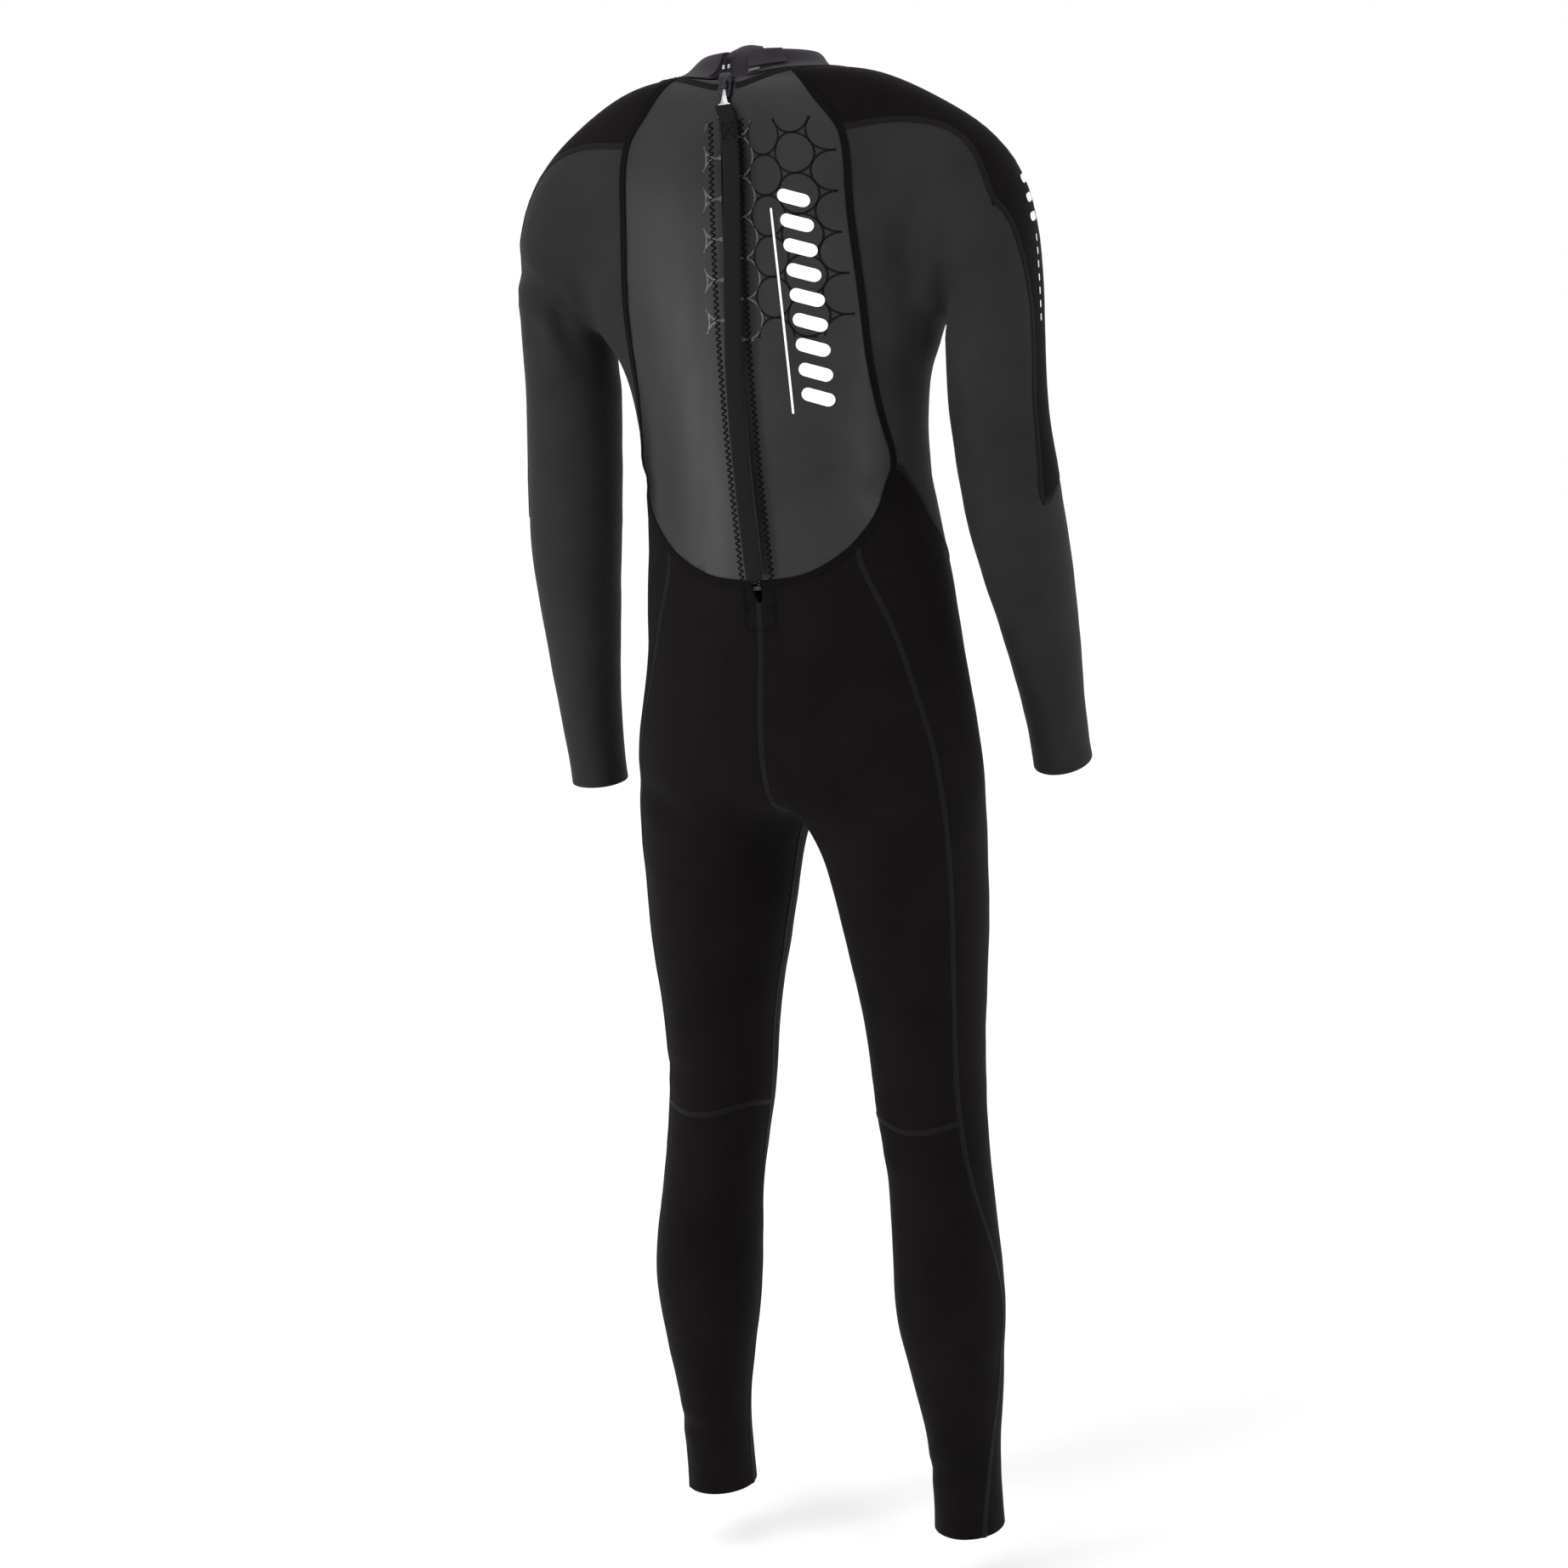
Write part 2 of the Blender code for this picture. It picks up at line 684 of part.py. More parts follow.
def tape_section(tree, sign):
    """A tape that lies under the edge of its back panel."""
    def section(height):
        inner, outer = (surface_lift(tree, height, sign * a) - SHEET - TAPE_GAP
                        for a in (ZIP_SLOT + 0.001, TAPE[1]))
        return ((sign * TAPE[0], inner - TAPE_THICKNESS), (sign * TAPE[1], outer - TAPE_THICKNESS),
                (sign * TAPE[1], outer), (sign * TAPE[0], inner))
    return section


def backing_section(tree):
    half, gap, thick = BACKING

    def section(height):
        places = [(a, surface_lift(tree, height, a) - SHEET - gap) for a in (half, 0.0, -half)]
        return [(a, low - thick) for a, low in places] + [(a, top) for a, top in reversed(places)]
    return section


def build_zip(tree):
    nylon = material("nylon", NYLON)
    steel = material("steel", METAL, 1.0)
    inner, outer = TEETH
    for side, sign in SIDES:
        strip("zip_chain_" + side, spread(ZIP_BOTTOM + 0.006, ZIP_TOP, 28),
              box_section(sign * inner, sign * outer, -TEETH_HALF_THICK, TEETH_HALF_THICK), nylon)
        strip("zip_tape_" + side, spread(ZIP_BOTTOM - 0.004, TAPE_TOP, 26),
              tape_section(tree, sign), nylon)
        strip("zip_top_stop_" + side, (ZIP_TOP + 0.0004, ZIP_TOP + 0.0004 + STOP_LENGTH),
              box_section(sign * inner, sign * outer, -0.0016, 0.0016), steel)
    strip("zip_backing_flap", spread(ZIP_BOTTOM - 0.010, BACKING_TOP, 16),
          backing_section(tree), material("black_neoprene", BLACK))
    strip("zip_bottom_stop", (ZIP_BOTTOM + 0.0015, ZIP_BOTTOM + 0.0015 + STOP_LENGTH),
          box_section(-outer, outer, -0.0018, 0.0016), steel)


def add_union(name, bars, mat):
    """Straight bars on the zip arc joined into one solid.

    Each bar is (first and last distance below the slider's top end, then its section's
    two sides and its underside and top).
    """
    top = ZIP_TOP - SLIDER_TOP
    pieces = [strip(f"{name}_{i}", (top - last, top - first), box_section(*sides), mat)
              for i, (first, last, *sides) in enumerate(bars)]
    whole = pieces[0]
    whole.name = name
    for i, tool in enumerate(pieces[1:]):
        join = whole.modifiers.new(f"join_{i}", "BOOLEAN")
        join.operation = "UNION"
        join.solver = "EXACT"
        join.object = tool
        tool.hide_render = True
        tool.display_type = "WIRE"
    return whole


def build_slider():
    """Slider round the chain, and the pull tab that lies through the slider's lug."""
    steel = material("steel", METAL, 1.0)
    add_union("zip_slider", (
        (0.0, SLIDER_LENGTH, -SLIDER_HALF, SLIDER_HALF, 0.0024, 0.0040),      # outer plate
        (0.0, SLIDER_LENGTH, -SLIDER_HALF, SLIDER_HALF, -0.0085, -0.0070),    # inner plate
        (0.0006, 0.0045, -0.0011, 0.0011, -0.0078, 0.0032),                   # web
        (0.0080, 0.0160, -0.0036, -0.0018, 0.0032, 0.0074),                   # lug, one cheek
        (0.0080, 0.0160, 0.0018, 0.0036, 0.0032, 0.0074),                     # lug, other cheek
        (0.0088, 0.0152, -0.0030, 0.0030, 0.0066, 0.0082),                    # lug's bridge
    ), steel)
    add_union("zip_pull_tab", (
        (0.0114, 0.0320, -0.0013, 0.0013, 0.0046, 0.0058),                    # stem
        (0.0300, 0.0340, -0.0070, 0.0070, 0.0045, 0.0059),                    # frame, upper bar
        (0.0310, 0.0430, -0.0068, -0.0048, 0.0046, 0.0058),                   # frame, one side
        (0.0310, 0.0430, 0.0048, 0.0068, 0.0046, 0.0058),                     # frame, other side
        (0.0415, TAB_LENGTH, -0.0070, 0.0070, 0.0045, 0.0059),                # frame, lower bar
    ), steel)


def build_strap():
    """Webbing that starts on the pull tab and hangs beside the chain."""
    first = ZIP_TOP - SLIDER_TOP - TAB_LENGTH + STRAP_LAP
    low, rise = STRAP_DIP
    half = STRAP_WIDTH / 2

    def section(height):
        share = min((first - height) / rise, 1.0)
        lift = low + (STRAP_LIFT - low) * share * share * (3 - 2 * share)
        aside = curve(STRAP_LINE, height)
        return ((aside - half, lift - STRAP_THICKNESS / 2), (aside + half, lift - STRAP_THICKNESS / 2),
                (aside + half, lift + STRAP_THICKNESS / 2), (aside - half, lift + STRAP_THICKNESS / 2))
    heights = spread(STRAP_END, first - rise, 26) + spread(first - rise, first, 7)[1:]
    strip("pull_strap", heights, section, material("webbing", WEBBING))


# ---------------------------------------------------------------- collar
def ellipse(half, centre_y, turn):
    """Point on an ellipse; turn 0 is the back, growing toward the wearer's right."""
    return (-half[0] * math.sin(turn), centre_y + half[1] * math.cos(turn))


def band(name, tree, turns, levels, mat, outward=0.0, sheet=SHEET):
    """A sheet on the collar's cone.

    `turns` are the places round the neck, `levels` are shares of the collar's rise, and
    `outward` is how far the sheet's outer face stands outside the collar's.
    """
    base = [h - COLLAR_INSET for h in NECK_HALF]
    rings = []
    for turn in turns:
        x0, y0 = ellipse(base, NECK_Y, turn)
        x1, y1 = ellipse(RIM_HALF, RIM_Y, turn)
        hit = tree.ray_cast(Vector((x0, y0, 0.2)), Vector((0, 0, -1)))
        z0 = hit[0].z + COLLAR_GAP
        away = Vector((-math.sin(turn), math.cos(turn), COLLAR_LEAN)).normalized()
        outer = []
        for level in levels:
            hollow = COLLAR_HOLLOW * math.sin(math.pi * level) * (1 - level)
            point = Vector((x0 + (x1 - x0) * level, y0 + (y1 - y0) * level,
                            z0 + (RIM_RISE - z0) * level))
            outer.append(point + away * (outward - hollow))
        rings.append(outer + [point - away * sheet for point in reversed(outer)])
    return loft(name, rings, mat)


def build_collar(tree):
    black = material("black_neoprene", BLACK)
    start = COLLAR_OPEN / NECK_HALF[0]
    band("collar", tree, spread(start, 2 * math.pi - start, 40), (0.0, 0.35, 0.7, 1.0), black)
    band("neck_flap", tree, spread(-0.46, 0.46, 9), (0.12, 0.5, 1.0, 1.42), black, -0.0085, 0.002)
    band("closure_tab", tree, spread(start + 0.02, start + 0.52, 6), (0.30, 0.60, 0.92), black,
         0.0052, 0.0022)
    band("closure_patch", tree, spread(start + 0.03, start + 0.16, 3), (0.06, 0.24),
         material("grey_hook_pile", GREY), 0.0038, 0.0012)


# ---------------------------------------------------------------- seam bindings
def build_bindings(tree):
    """Black tape stitched over the outer edge of each back panel."""
    half = BINDING_WIDTH / 2 / TORSO_RADIUS
    corners = ((-half, 0), (half, 0), (half, BINDING_THICKNESS), (-half, BINDING_THICKNESS))
    for side, sign in SIDES:
        rings = []
        for height in spread(*BINDING_ENDS, 30):
            start = Vector((middle_x(height), TORSO_AXIS_Y, up(height)))
            ring = []
            for aside, lift in corners:
                angle = math.radians(curve(BACK_PANEL_EDGE, height)) + aside
                way = Vector((sign * math.sin(angle), math.cos(angle), 0))
                place, normal, _, _ = tree.ray_cast(start, way)
                ring.append(place + normal * (BINDING_LIFT + lift))
            rings.append(ring)
        loft("back_binding_" + side, rings, material("webbing", WEBBING))


def main():
    for old in list(bpy.data.objects):
        bpy.data.objects.remove(old)
    bm = smooth_body()
    tree = BVHTree.FromBMesh(bm)
    build_panels(bm)
    bm.free()
    build_zip(tree)
    build_slider()
    build_strap()
    build_collar(tree)
    build_bindings(tree)


main()
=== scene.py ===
"""Looks of the full wetsuit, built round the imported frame.

Metres, +Z up, in the frame of the CAD model: the origin is the middle of the neck
opening, the wearer faces -Y and the wearer's left is +X.  The suit's skin is the same
subdivision surface as the CAD model's, cut along the same seams on a finer mesh.
"""
import math

import bmesh
import bpy
from mathutils import Matrix, Vector, noise
from mathutils.bvhtree import BVHTree
from mathutils.kdtree import KDTree


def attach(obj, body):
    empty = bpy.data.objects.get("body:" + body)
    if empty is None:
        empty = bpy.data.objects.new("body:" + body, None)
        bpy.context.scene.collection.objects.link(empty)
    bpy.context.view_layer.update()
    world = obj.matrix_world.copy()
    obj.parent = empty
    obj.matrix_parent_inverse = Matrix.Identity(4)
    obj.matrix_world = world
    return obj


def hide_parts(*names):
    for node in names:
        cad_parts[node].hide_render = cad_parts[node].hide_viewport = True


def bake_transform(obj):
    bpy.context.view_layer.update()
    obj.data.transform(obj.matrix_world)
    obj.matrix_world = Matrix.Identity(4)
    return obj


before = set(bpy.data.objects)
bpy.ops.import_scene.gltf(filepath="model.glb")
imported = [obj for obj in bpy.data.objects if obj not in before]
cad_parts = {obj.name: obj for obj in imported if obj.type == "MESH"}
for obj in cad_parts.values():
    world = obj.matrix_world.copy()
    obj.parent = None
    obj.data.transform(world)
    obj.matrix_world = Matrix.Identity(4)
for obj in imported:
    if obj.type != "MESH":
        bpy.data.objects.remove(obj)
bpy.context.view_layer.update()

NECK_HEIGHT = 1.520      # neck seam above the floor
SHEET = 0.003            # neoprene thickness

SIDE_SHIFT = 0.017       # the hips stand this far to the wearer's right of the neck
SHIFT_FROM = 1.02        # height where that sideways shift is complete
ARM_SHIFT = 0.007        # both arms hang this far to the wearer's right of the neck
SQUARENESS = 0.88        # below 1 the torso section is squarer than an ellipse
TORSO_POINTS, LIMB_POINTS = 12, 8   # control points round the torso and round a limb

# height, half width, back depth, front depth, centre y
TORSO = (
    (0.840, 0.184, 0.112, 0.094, -0.008),
    (0.900, 0.180, 0.124, 0.096, -0.008),
    (0.970, 0.166, 0.110, 0.100, -0.008),
    (1.050, 0.160, 0.104, 0.098, -0.002),
    (1.140, 0.145, 0.107, 0.096, 0.006),
    (1.220, 0.148, 0.105, 0.098, 0.012),
    (1.280, 0.161, 0.104, 0.106, 0.014),
    (1.390, 0.196, 0.0965, 0.100, 0.016),
    (1.510, 0.192, 0.072, 0.062, 0.024),
    (1.545, 0.124, 0.060, 0.056, 0.026),
    (1.545, 0.074, 0.052, 0.060, 0.014),
)
ARMHOLE_RINGS = (6, 7, 8)          # rows of TORSO that the armhole spans
ARMHOLE_QUADS = (2, 3, 8, 9)       # and the quads of each row that it leaves out
# height, distance from the middle, y, half width, half depth, tilt of the ring
UPPER_ARM = (
    (1.384, 0.233, 0.014, 0.078, 0.066, 1.02),
    (1.285, 0.229, 0.012, 0.052, 0.060, 0.40),
    (1.200, 0.230, 0.010, 0.047, 0.054, 0.15),
    (1.130, 0.238, 0.006, 0.048, 0.052, 0.08),
)
# distance below the elbow, distance from the middle, half width, half depth
FOREARM = (
    (0.060, 0.243, 0.046, 0.049),
    (0.130, 0.247, 0.040, 0.044),
    (0.200, 0.249, 0.033, 0.036),
    (0.265, 0.249, 0.029, 0.031),
    (0.297, 0.249, 0.030, 0.032),
)
ELBOW = (0.238, 0.006, 1.130)      # distance from the middle, y, height
ELBOW_REST = {"left": 9.0, "right": 22.0}   # degrees each forearm is bent at rest
# height, distance from the middle, y, half width, half depth
LEG = (
    (0.785, 0.1005, -0.008, 0.0815, 0.098),
    (0.720, 0.1065, -0.010, 0.0765, 0.089),
    (0.650, 0.1130, -0.010, 0.0670, 0.080),
    (0.580, 0.1165, -0.010, 0.0580, 0.070),
    (0.510, 0.1190, -0.008, 0.0560, 0.062),
    (0.440, 0.1290, 0.000, 0.0510, 0.058),
    (0.380, 0.1365, 0.010, 0.0540, 0.062),
    (0.310, 0.1400, 0.014, 0.0580, 0.062),
    (0.240, 0.1440, 0.010, 0.0480, 0.053),
    (0.170, 0.1465, 0.004, 0.0370, 0.044),
    (0.110, 0.1470, 0.000, 0.0335, 0.041),
    (0.068, 0.1480, -0.002, 0.0355, 0.043),
)
FOOT_FORWARD = {"left": 0.033, "right": 0.0}    # how far forward each leg stands at the floor
STRIDE_FROM = 0.80                 # height where that slope starts
CROTCH = (-0.006, 0.835)           # y, height

KNEE = (0.119, -0.010, 0.510)      # distance from the middle, y, height
ELBOW_ZONE = 0.085                 # soft zone above and below the elbow axis

# seams, as points that a smooth curve passes through
BACK_PANEL_EDGE = ((1.00, 78), (1.145, 74), (1.20, 66), (1.27, 59), (1.40, 55), (1.482, 56),
                   (1.512, 50), (1.56, 42))                       # height, degrees from back
CHEST_PANEL_EDGE = ((1.00, 128), (1.15, 124), (1.27, 121), (1.40, 119), (1.48, 121),
                    (1.56, 130))                                  # height, degrees from back
WAIST_SEAM = ((0, 1.052), (27, 1.056), (40, 1.067), (52, 1.086), (62, 1.116), (68, 1.144),
              (72, 1.166), (93, 1.096), (113, 1.060), (140, 1.044),
              (180, 1.038))                                       # degrees from back, height
YOKE_SEAM = ((0.06, 1.478), (0.12, 1.482), (0.169, 1.487), (0.219, 1.474), (0.240, 1.448),
             (0.256, 1.400), (0.270, 1.340))                      # from the middle, height
STRIPE_BACK = ((1.115, 60), (1.21, 62), (1.315, 62), (1.382, 43), (1.42, 33))
STRIPE_FRONT = ((1.115, 60), (1.15, 112), (1.21, 122), (1.30, 128), (1.382, 137), (1.42, 147))
STRIPE_BELOW = 1.400               # the yoke is a stripe round the arm below this height
OUTER_LEG_SEAM = ((0.07, 45), (0.14, 60), (0.22, 74), (0.28, 79), (0.33, 79), (0.39, 68),
                  (0.44, 60), (0.51, 56), (0.755, 56), (0.85, 53), (0.92, 46), (1.00, 36),
                  (1.07, 20))                                     # height, degrees round the leg
LEG_AXIS = ((0.075, 0.148), (0.31, 0.140), (0.51, 0.119), (0.785, 0.1005), (0.90, 0.092),
            (1.07, 0.070))                                        # height, from the middle
TORSO_RADIUS, ARM_RADIUS, LEG_RADIUS = 0.13, 0.05, 0.07   # turn angles into lengths
SHOULDER_HEIGHT = 1.42             # the neck hole is looked for above this only
ARM_AXIS = ((1.115, 0.238), (1.20, 0.230), (1.285, 0.229), (1.42, 0.222))
ARM_AXIS_Y = 0.008
LEG_AXIS_Y = 0.002
TORSO_AXIS_Y = 0.010               # the degrees round the torso are counted about this y
INNER_LEG_SEAM = -100.0            # degrees round the leg

# collar
NECK_HALF = (0.093, 0.067)         # half width and half depth of the neck seam
NECK_Y = 0.020
RIM_HALF = (0.058, 0.056)
RIM_Y = 0.002
RIM_RISE = 0.046                   # rim above the origin
COLLAR_OPEN = 0.018                # half width of the collar's opening at the back
COLLAR_INSET = 0.0006              # the collar's foot stands inside the neck seam
COLLAR_GAP = 0.0012                # and this far above the shoulders
COLLAR_LEAN = 0.35                 # upward slope of the collar's outward direction
COLLAR_HOLLOW = 0.010              # depth of the hollow in its profile

# zip: an arc in the plane of the middle of the back
ZIP_CREST = (0.1175, 1.250)        # y and height of the arc's furthest point back
ZIP_RADIUS = 1.400
ZIP_TOP = 1.545                    # height of the chain's upper end
ZIP_BOTTOM = 1.045
SLIT_BOTTOM = 1.018                # the slit runs on below the chain, into the seat panels
ZIP_SLOT = 0.005                   # half width of the slot between the back panels
TEETH_HALF_THICK = 0.0013
TAPE = (0.0046, 0.020)             # a tape's inner and outer edge from the middle
TAPE_THICKNESS = 0.0009
TAPE_GAP = 0.0008                  # between a tape and the panel over it
TAPE_TOP = 1.494
SLIDER_TOP = 0.004                 # slider's upper end below the chain's upper end
TAB_LENGTH = 0.044                 # tab's lower end below the slider's upper end
STRAP_WIDTH = 0.018
STRAP_THICKNESS = 0.0018
STRAP_LIFT = 0.012                 # strap's middle above the zip arc
STRAP_LINE = ((1.04, -0.003), (1.25, -0.003), (1.31, -0.006), (1.44, -0.010), (1.485, -0.007),
              (1.509, 0.0))        # height, how far to the wearer's left the strap hangs
STRAP_END = 1.058                  # height of the strap's cut end
STRAP_LAP = 0.012                  # the strap starts this far above the tab's lower end
STRAP_DIP = (0.0078, 0.040)        # lift of its upper end, and the length of its rise

# ---------------- looks: driving values
LEVELS = 3                         # subdivision of the visible skin
ON_SEAM = 0.00003                  # closer to a seam than this is on it
HALVINGS = 24                      # steps of the search for a crossing
SNAP_SHARE = 0.28                  # a crossing nearer an edge's end than this moves that end
CUT_MARGIN = 0.02                  # no edge is cut nearer its end than this share of it
SAME_SPOT = 1e-5                   # points closer than this are one point
SLEEVE_SPLIT = 1.300               # height where a sleeve's bending part starts
KNEE_SEAM = ((-100, 0.500), (-60, 0.506), (0, 0.497), (60, 0.506))   # degrees, height
EDGE_ROUND = 0.0009                # rounding of every panel's cut edge

CAMERA_TURN = 23.0                 # degrees round from straight behind, to the wearer's right
CAMERA_DISTANCE = 2.70
CAMERA_HEIGHT = 1.20
CAMERA_PAN = 0.52
CAMERA_TILT = -7.55
CAMERA_ROLL = -2.4
CAMERA_LENS = 61.24
SENSOR = 36.0
# name, place, what it's turned to, size, power
SOFTBOXES = (("key", (1.7, 1.9, -0.45), (0.06, 0.1, -0.35), (0.5, 1.5), 26),
             ("fill", (-2.3, 1.5, 0.1), (0, 0, -0.5), (0.7, 1.8), 14))
SUN_STRENGTH, SUN_SOFTNESS, SUN_TURN = 0.8, 35, (-32, 18, 0)   # degrees
FLOOR_REACH = 30.0

SIDES = (("right", -1), ("left", 1))


def up(height):
    """z of a height above the floor."""
    return height - NECK_HEIGHT


def middle_x(height):
    """x of the figure's middle plane at a height."""
    drop = (NECK_HEIGHT - height) / (NECK_HEIGHT - SHIFT_FROM)
    return -SIDE_SHIFT * min(max(drop, 0.0), 1.0)


def curve(points, at):
    """Smooth (Catmull-Rom) value of a table at one place; flat beyond its ends."""
    if at <= points[0][0]:
        return points[0][1]
    if at >= points[-1][0]:
        return points[-1][1]
    i = max(k for k, p in enumerate(points) if p[0] <= at)
    (x1, y1), (x2, y2) = points[i], points[i + 1]
    x0, y0 = points[i - 1] if i else (2 * x1 - x2, 2 * y1 - y2)
    x3, y3 = points[i + 2] if i + 2 < len(points) else (2 * x2 - x1, 2 * y2 - y1)
    t = (at - x1) / (x2 - x1)
    m1 = (y2 - y0) / (x2 - x0) * (x2 - x1)
    m2 = (y3 - y1) / (x3 - x1) * (x2 - x1)
    a = 2 * t ** 3 - 3 * t ** 2 + 1
    b = t ** 3 - 2 * t ** 2 + t
    c = 3 * t ** 2 - 2 * t ** 3
    d = t ** 3 - t ** 2
    return a * y1 + b * m1 + c * y2 + d * m2


def swell(count):
    """How much bigger a control ring of `count` points is than its smooth limit."""
    return 3 / (2 + math.cos(2 * math.pi / count))


def power(value):
    """Signed power that squares off an ellipse."""
    return math.copysign(abs(value) ** SQUARENESS, value)


def spread(first, last, count):
    """`count` even steps from first to last."""
    return [first + (last - first) * k / (count - 1) for k in range(count)]


# ---------------- the figure's surface
def torso_ring(height, half, back, front, centre):
    """Control points from the middle of the back round by the wearer's right."""
    size = swell(TORSO_POINTS)
    ring = []
    for k in range(TORSO_POINTS):
        turn = 2 * math.pi * k / TORSO_POINTS
        depth = back if math.cos(turn) > 0 else front
        x = middle_x(height) - half * size * power(math.sin(turn))
        y = centre + depth * size * power(math.cos(turn))
        ring.append((x, y, up(height)))
    return ring


def arm_rings(side, sign):
    """Control rings of one sleeve from the shoulder to the wrist."""
    size = swell(LIMB_POINTS)
    bend = math.radians(ELBOW_REST[side])
    rows = [(h, x, y, rx, ry, tilt, 0.0) for h, x, y, rx, ry, tilt in UPPER_ARM]
    for below, x, rx, ry in FOREARM:
        rows.append((ELBOW[2] - below * math.cos(bend), x, ELBOW[1] - below * math.sin(bend),
                     rx, ry, 0.03, bend))
    rings = []
    for height, out, y, rx, ry, tilt, lean in rows:
        ring = []
        for k in range(LIMB_POINTS):
            turn = 2 * math.pi * k / LIMB_POINTS
            along = rx * size * math.cos(turn)
            deep = ry * size * math.sin(turn)
            ring.append((sign * (out + along * math.cos(tilt)) - ARM_SHIFT,
                         y + deep * math.cos(lean),
                         up(height) + along * math.sin(tilt) - deep * math.sin(lean)))
        rings.append(ring)
    return rings


def foot_forward(side, height):
    """How far forward of the hip the leg stands at a height."""
    return FOOT_FORWARD[side] * max(STRIDE_FROM - height, 0.0) / STRIDE_FROM


def leg_rings(side, sign):
    """Control rings of one leg from the thigh to the ankle."""
    size = swell(LIMB_POINTS)
    rings = []
    for height, out, y, rx, ry in LEG:
        forward = foot_forward(side, height)
        ring = []
        for k in range(LIMB_POINTS):
            turn = 2 * math.pi * k / LIMB_POINTS - math.pi / 4
            ring.append((middle_x(height) + sign * (out + rx * size * math.sin(turn)),
                         y - forward + ry * size * math.cos(turn), up(height)))
        rings.append(ring)
    return rings


def control_cage():
    """Points and quads of the control cage; each quad carries its limb's number."""
    verts, quads, limbs = [], [], []

    def add(ring):
        verts.extend(ring)
        return list(range(len(verts) - len(ring), len(verts)))

    def join(upper, lower, limb, flip):
        count = len(upper)
        for k in range(count):
            n = (k + 1) % count
            quad = (upper[k], upper[n], lower[n], lower[k])
            quads.append(quad if flip else quad[::-1])
            limbs.append(limb)

    torso = [add(torso_ring(*row)) for row in TORSO]
    low, mid, top = ARMHOLE_RINGS
    for i in range(len(torso) - 1):
        for k in range(TORSO_POINTS):
            if low <= i < top and k in ARMHOLE_QUADS:
                continue
            n = (k + 1) % TORSO_POINTS
            quads.append((torso[i][k], torso[i][n], torso[i + 1][n], torso[i + 1][k]))
            limbs.append(0)
    crotch = add([(middle_x(CROTCH[1]), CROTCH[0], up(CROTCH[1]))])[0]
    for number, (side, sign) in enumerate(SIDES):
        def at(row, k):
            return torso[row][k if sign < 0 else -k]
        hole = [at(top, 3), at(top, 2), at(mid, 2), at(low, 2), at(low, 3), at(low, 4),
                at(mid, 4), at(top, 4)]
        for ring in arm_rings(side, sign):
            ring = add(ring)
            join(hole, ring, 1 + number, sign < 0)
            hole = ring
        hole = [at(0, k) for k in range(7)] + [crotch]
        for ring in leg_rings(side, sign):
            ring = add(ring)
            join(hole, ring, 3 + number, sign > 0)
            hole = ring
    return verts, quads, limbs


# ---------------- seams as fields
# Each field is positive inside its panel, negative outside, and zero on the seam.
def height_of(p):
    return p.z + NECK_HEIGHT


def round_torso(p):
    """Degrees round the torso, 0 at the middle of the back and 180 at the front."""
    return math.degrees(math.atan2(abs(left_half(p)), p.y - TORSO_AXIS_Y))


def zip_slot(p):
    """The slot for the zip, which narrows to a point below the chain."""
    height = height_of(p)
    share = (height - SLIT_BOTTOM) / (ZIP_BOTTOM - SLIT_BOTTOM)
    return min(ZIP_SLOT * min(share, 1.0) - abs(p.x - middle_x(height)), p.y)


def left_half(p):
    """Distance to the wearer's left of the middle."""
    return p.x - middle_x(height_of(p))


def neck_hole(p):
    reach = math.hypot(p.x / NECK_HALF[0], (p.y - NECK_Y) / NECK_HALF[1])
    return (1 - reach) * NECK_HALF[0] if height_of(p) > SHOULDER_HEIGHT else -1.0


def below_waist(p):
    return curve(WAIST_SEAM, round_torso(p)) - height_of(p)


def torso_panel(p, inside):
    """A panel above the waist, from the degrees that p is inside its side edge."""
    return min(math.radians(inside) * TORSO_RADIUS, -below_waist(p))


def back_panel(p):
    return torso_panel(p, curve(BACK_PANEL_EDGE, height_of(p)) - round_torso(p))


def chest_panel(p):
    return torso_panel(p, round_torso(p) - curve(CHEST_PANEL_EDGE, height_of(p)))


def round_arm(p):
    """Degrees round the upper arm, 0 at the back, 90 outside, 180 at the front."""
    out = abs(p.x + ARM_SHIFT) - curve(ARM_AXIS, height_of(p))
    return math.degrees(math.atan2(out, p.y - ARM_AXIS_Y)) % 360


def yoke(p):
    height = height_of(p)
    if height > STRIPE_BELOW:
        return height - curve(YOKE_SEAM, abs(p.x))
    turn = round_arm(p)
    inside = min(turn - curve(STRIPE_BACK, height), curve(STRIPE_FRONT, height) - turn)
    return min(math.radians(inside) * ARM_RADIUS, height - STRIPE_BACK[0][0])


def round_leg(p):
    """Degrees round the leg, 0 at the back, 90 outside, negative on the inside."""
    height = height_of(p)
    side = "left" if left_half(p) > 0 else "right"
    out = abs(left_half(p)) - curve(LEG_AXIS, height)
    forward = foot_forward(side, height)
    return math.degrees(math.atan2(out, p.y + forward - LEG_AXIS_Y))


def back_of_leg(p):
    turn = round_leg(p)
    edge = curve(OUTER_LEG_SEAM, height_of(p))
    return math.radians(min(edge - turn, turn - INNER_LEG_SEAM)) * LEG_RADIUS


def zero_between(a, b, field):
    """Share of the way from a to b where the field is zero, by halving."""
    low, high = 0.0, 1.0
    rising = field(a) < 0
    for _ in range(HALVINGS):
        half = (low + high) / 2
        if (field(a.lerp(b, half)) < 0) == rising:
            low = half
        else:
            high = half
    return (low + high) / 2


# ---------------- zip and its arc
def zip_tilt():
    """Sideways slope of the zip, from the figure's sideways shift."""
    return SIDE_SHIFT / (NECK_HEIGHT - SHIFT_FROM)


def zip_axis():
    return Vector((1, 0, -zip_tilt())).normalized()


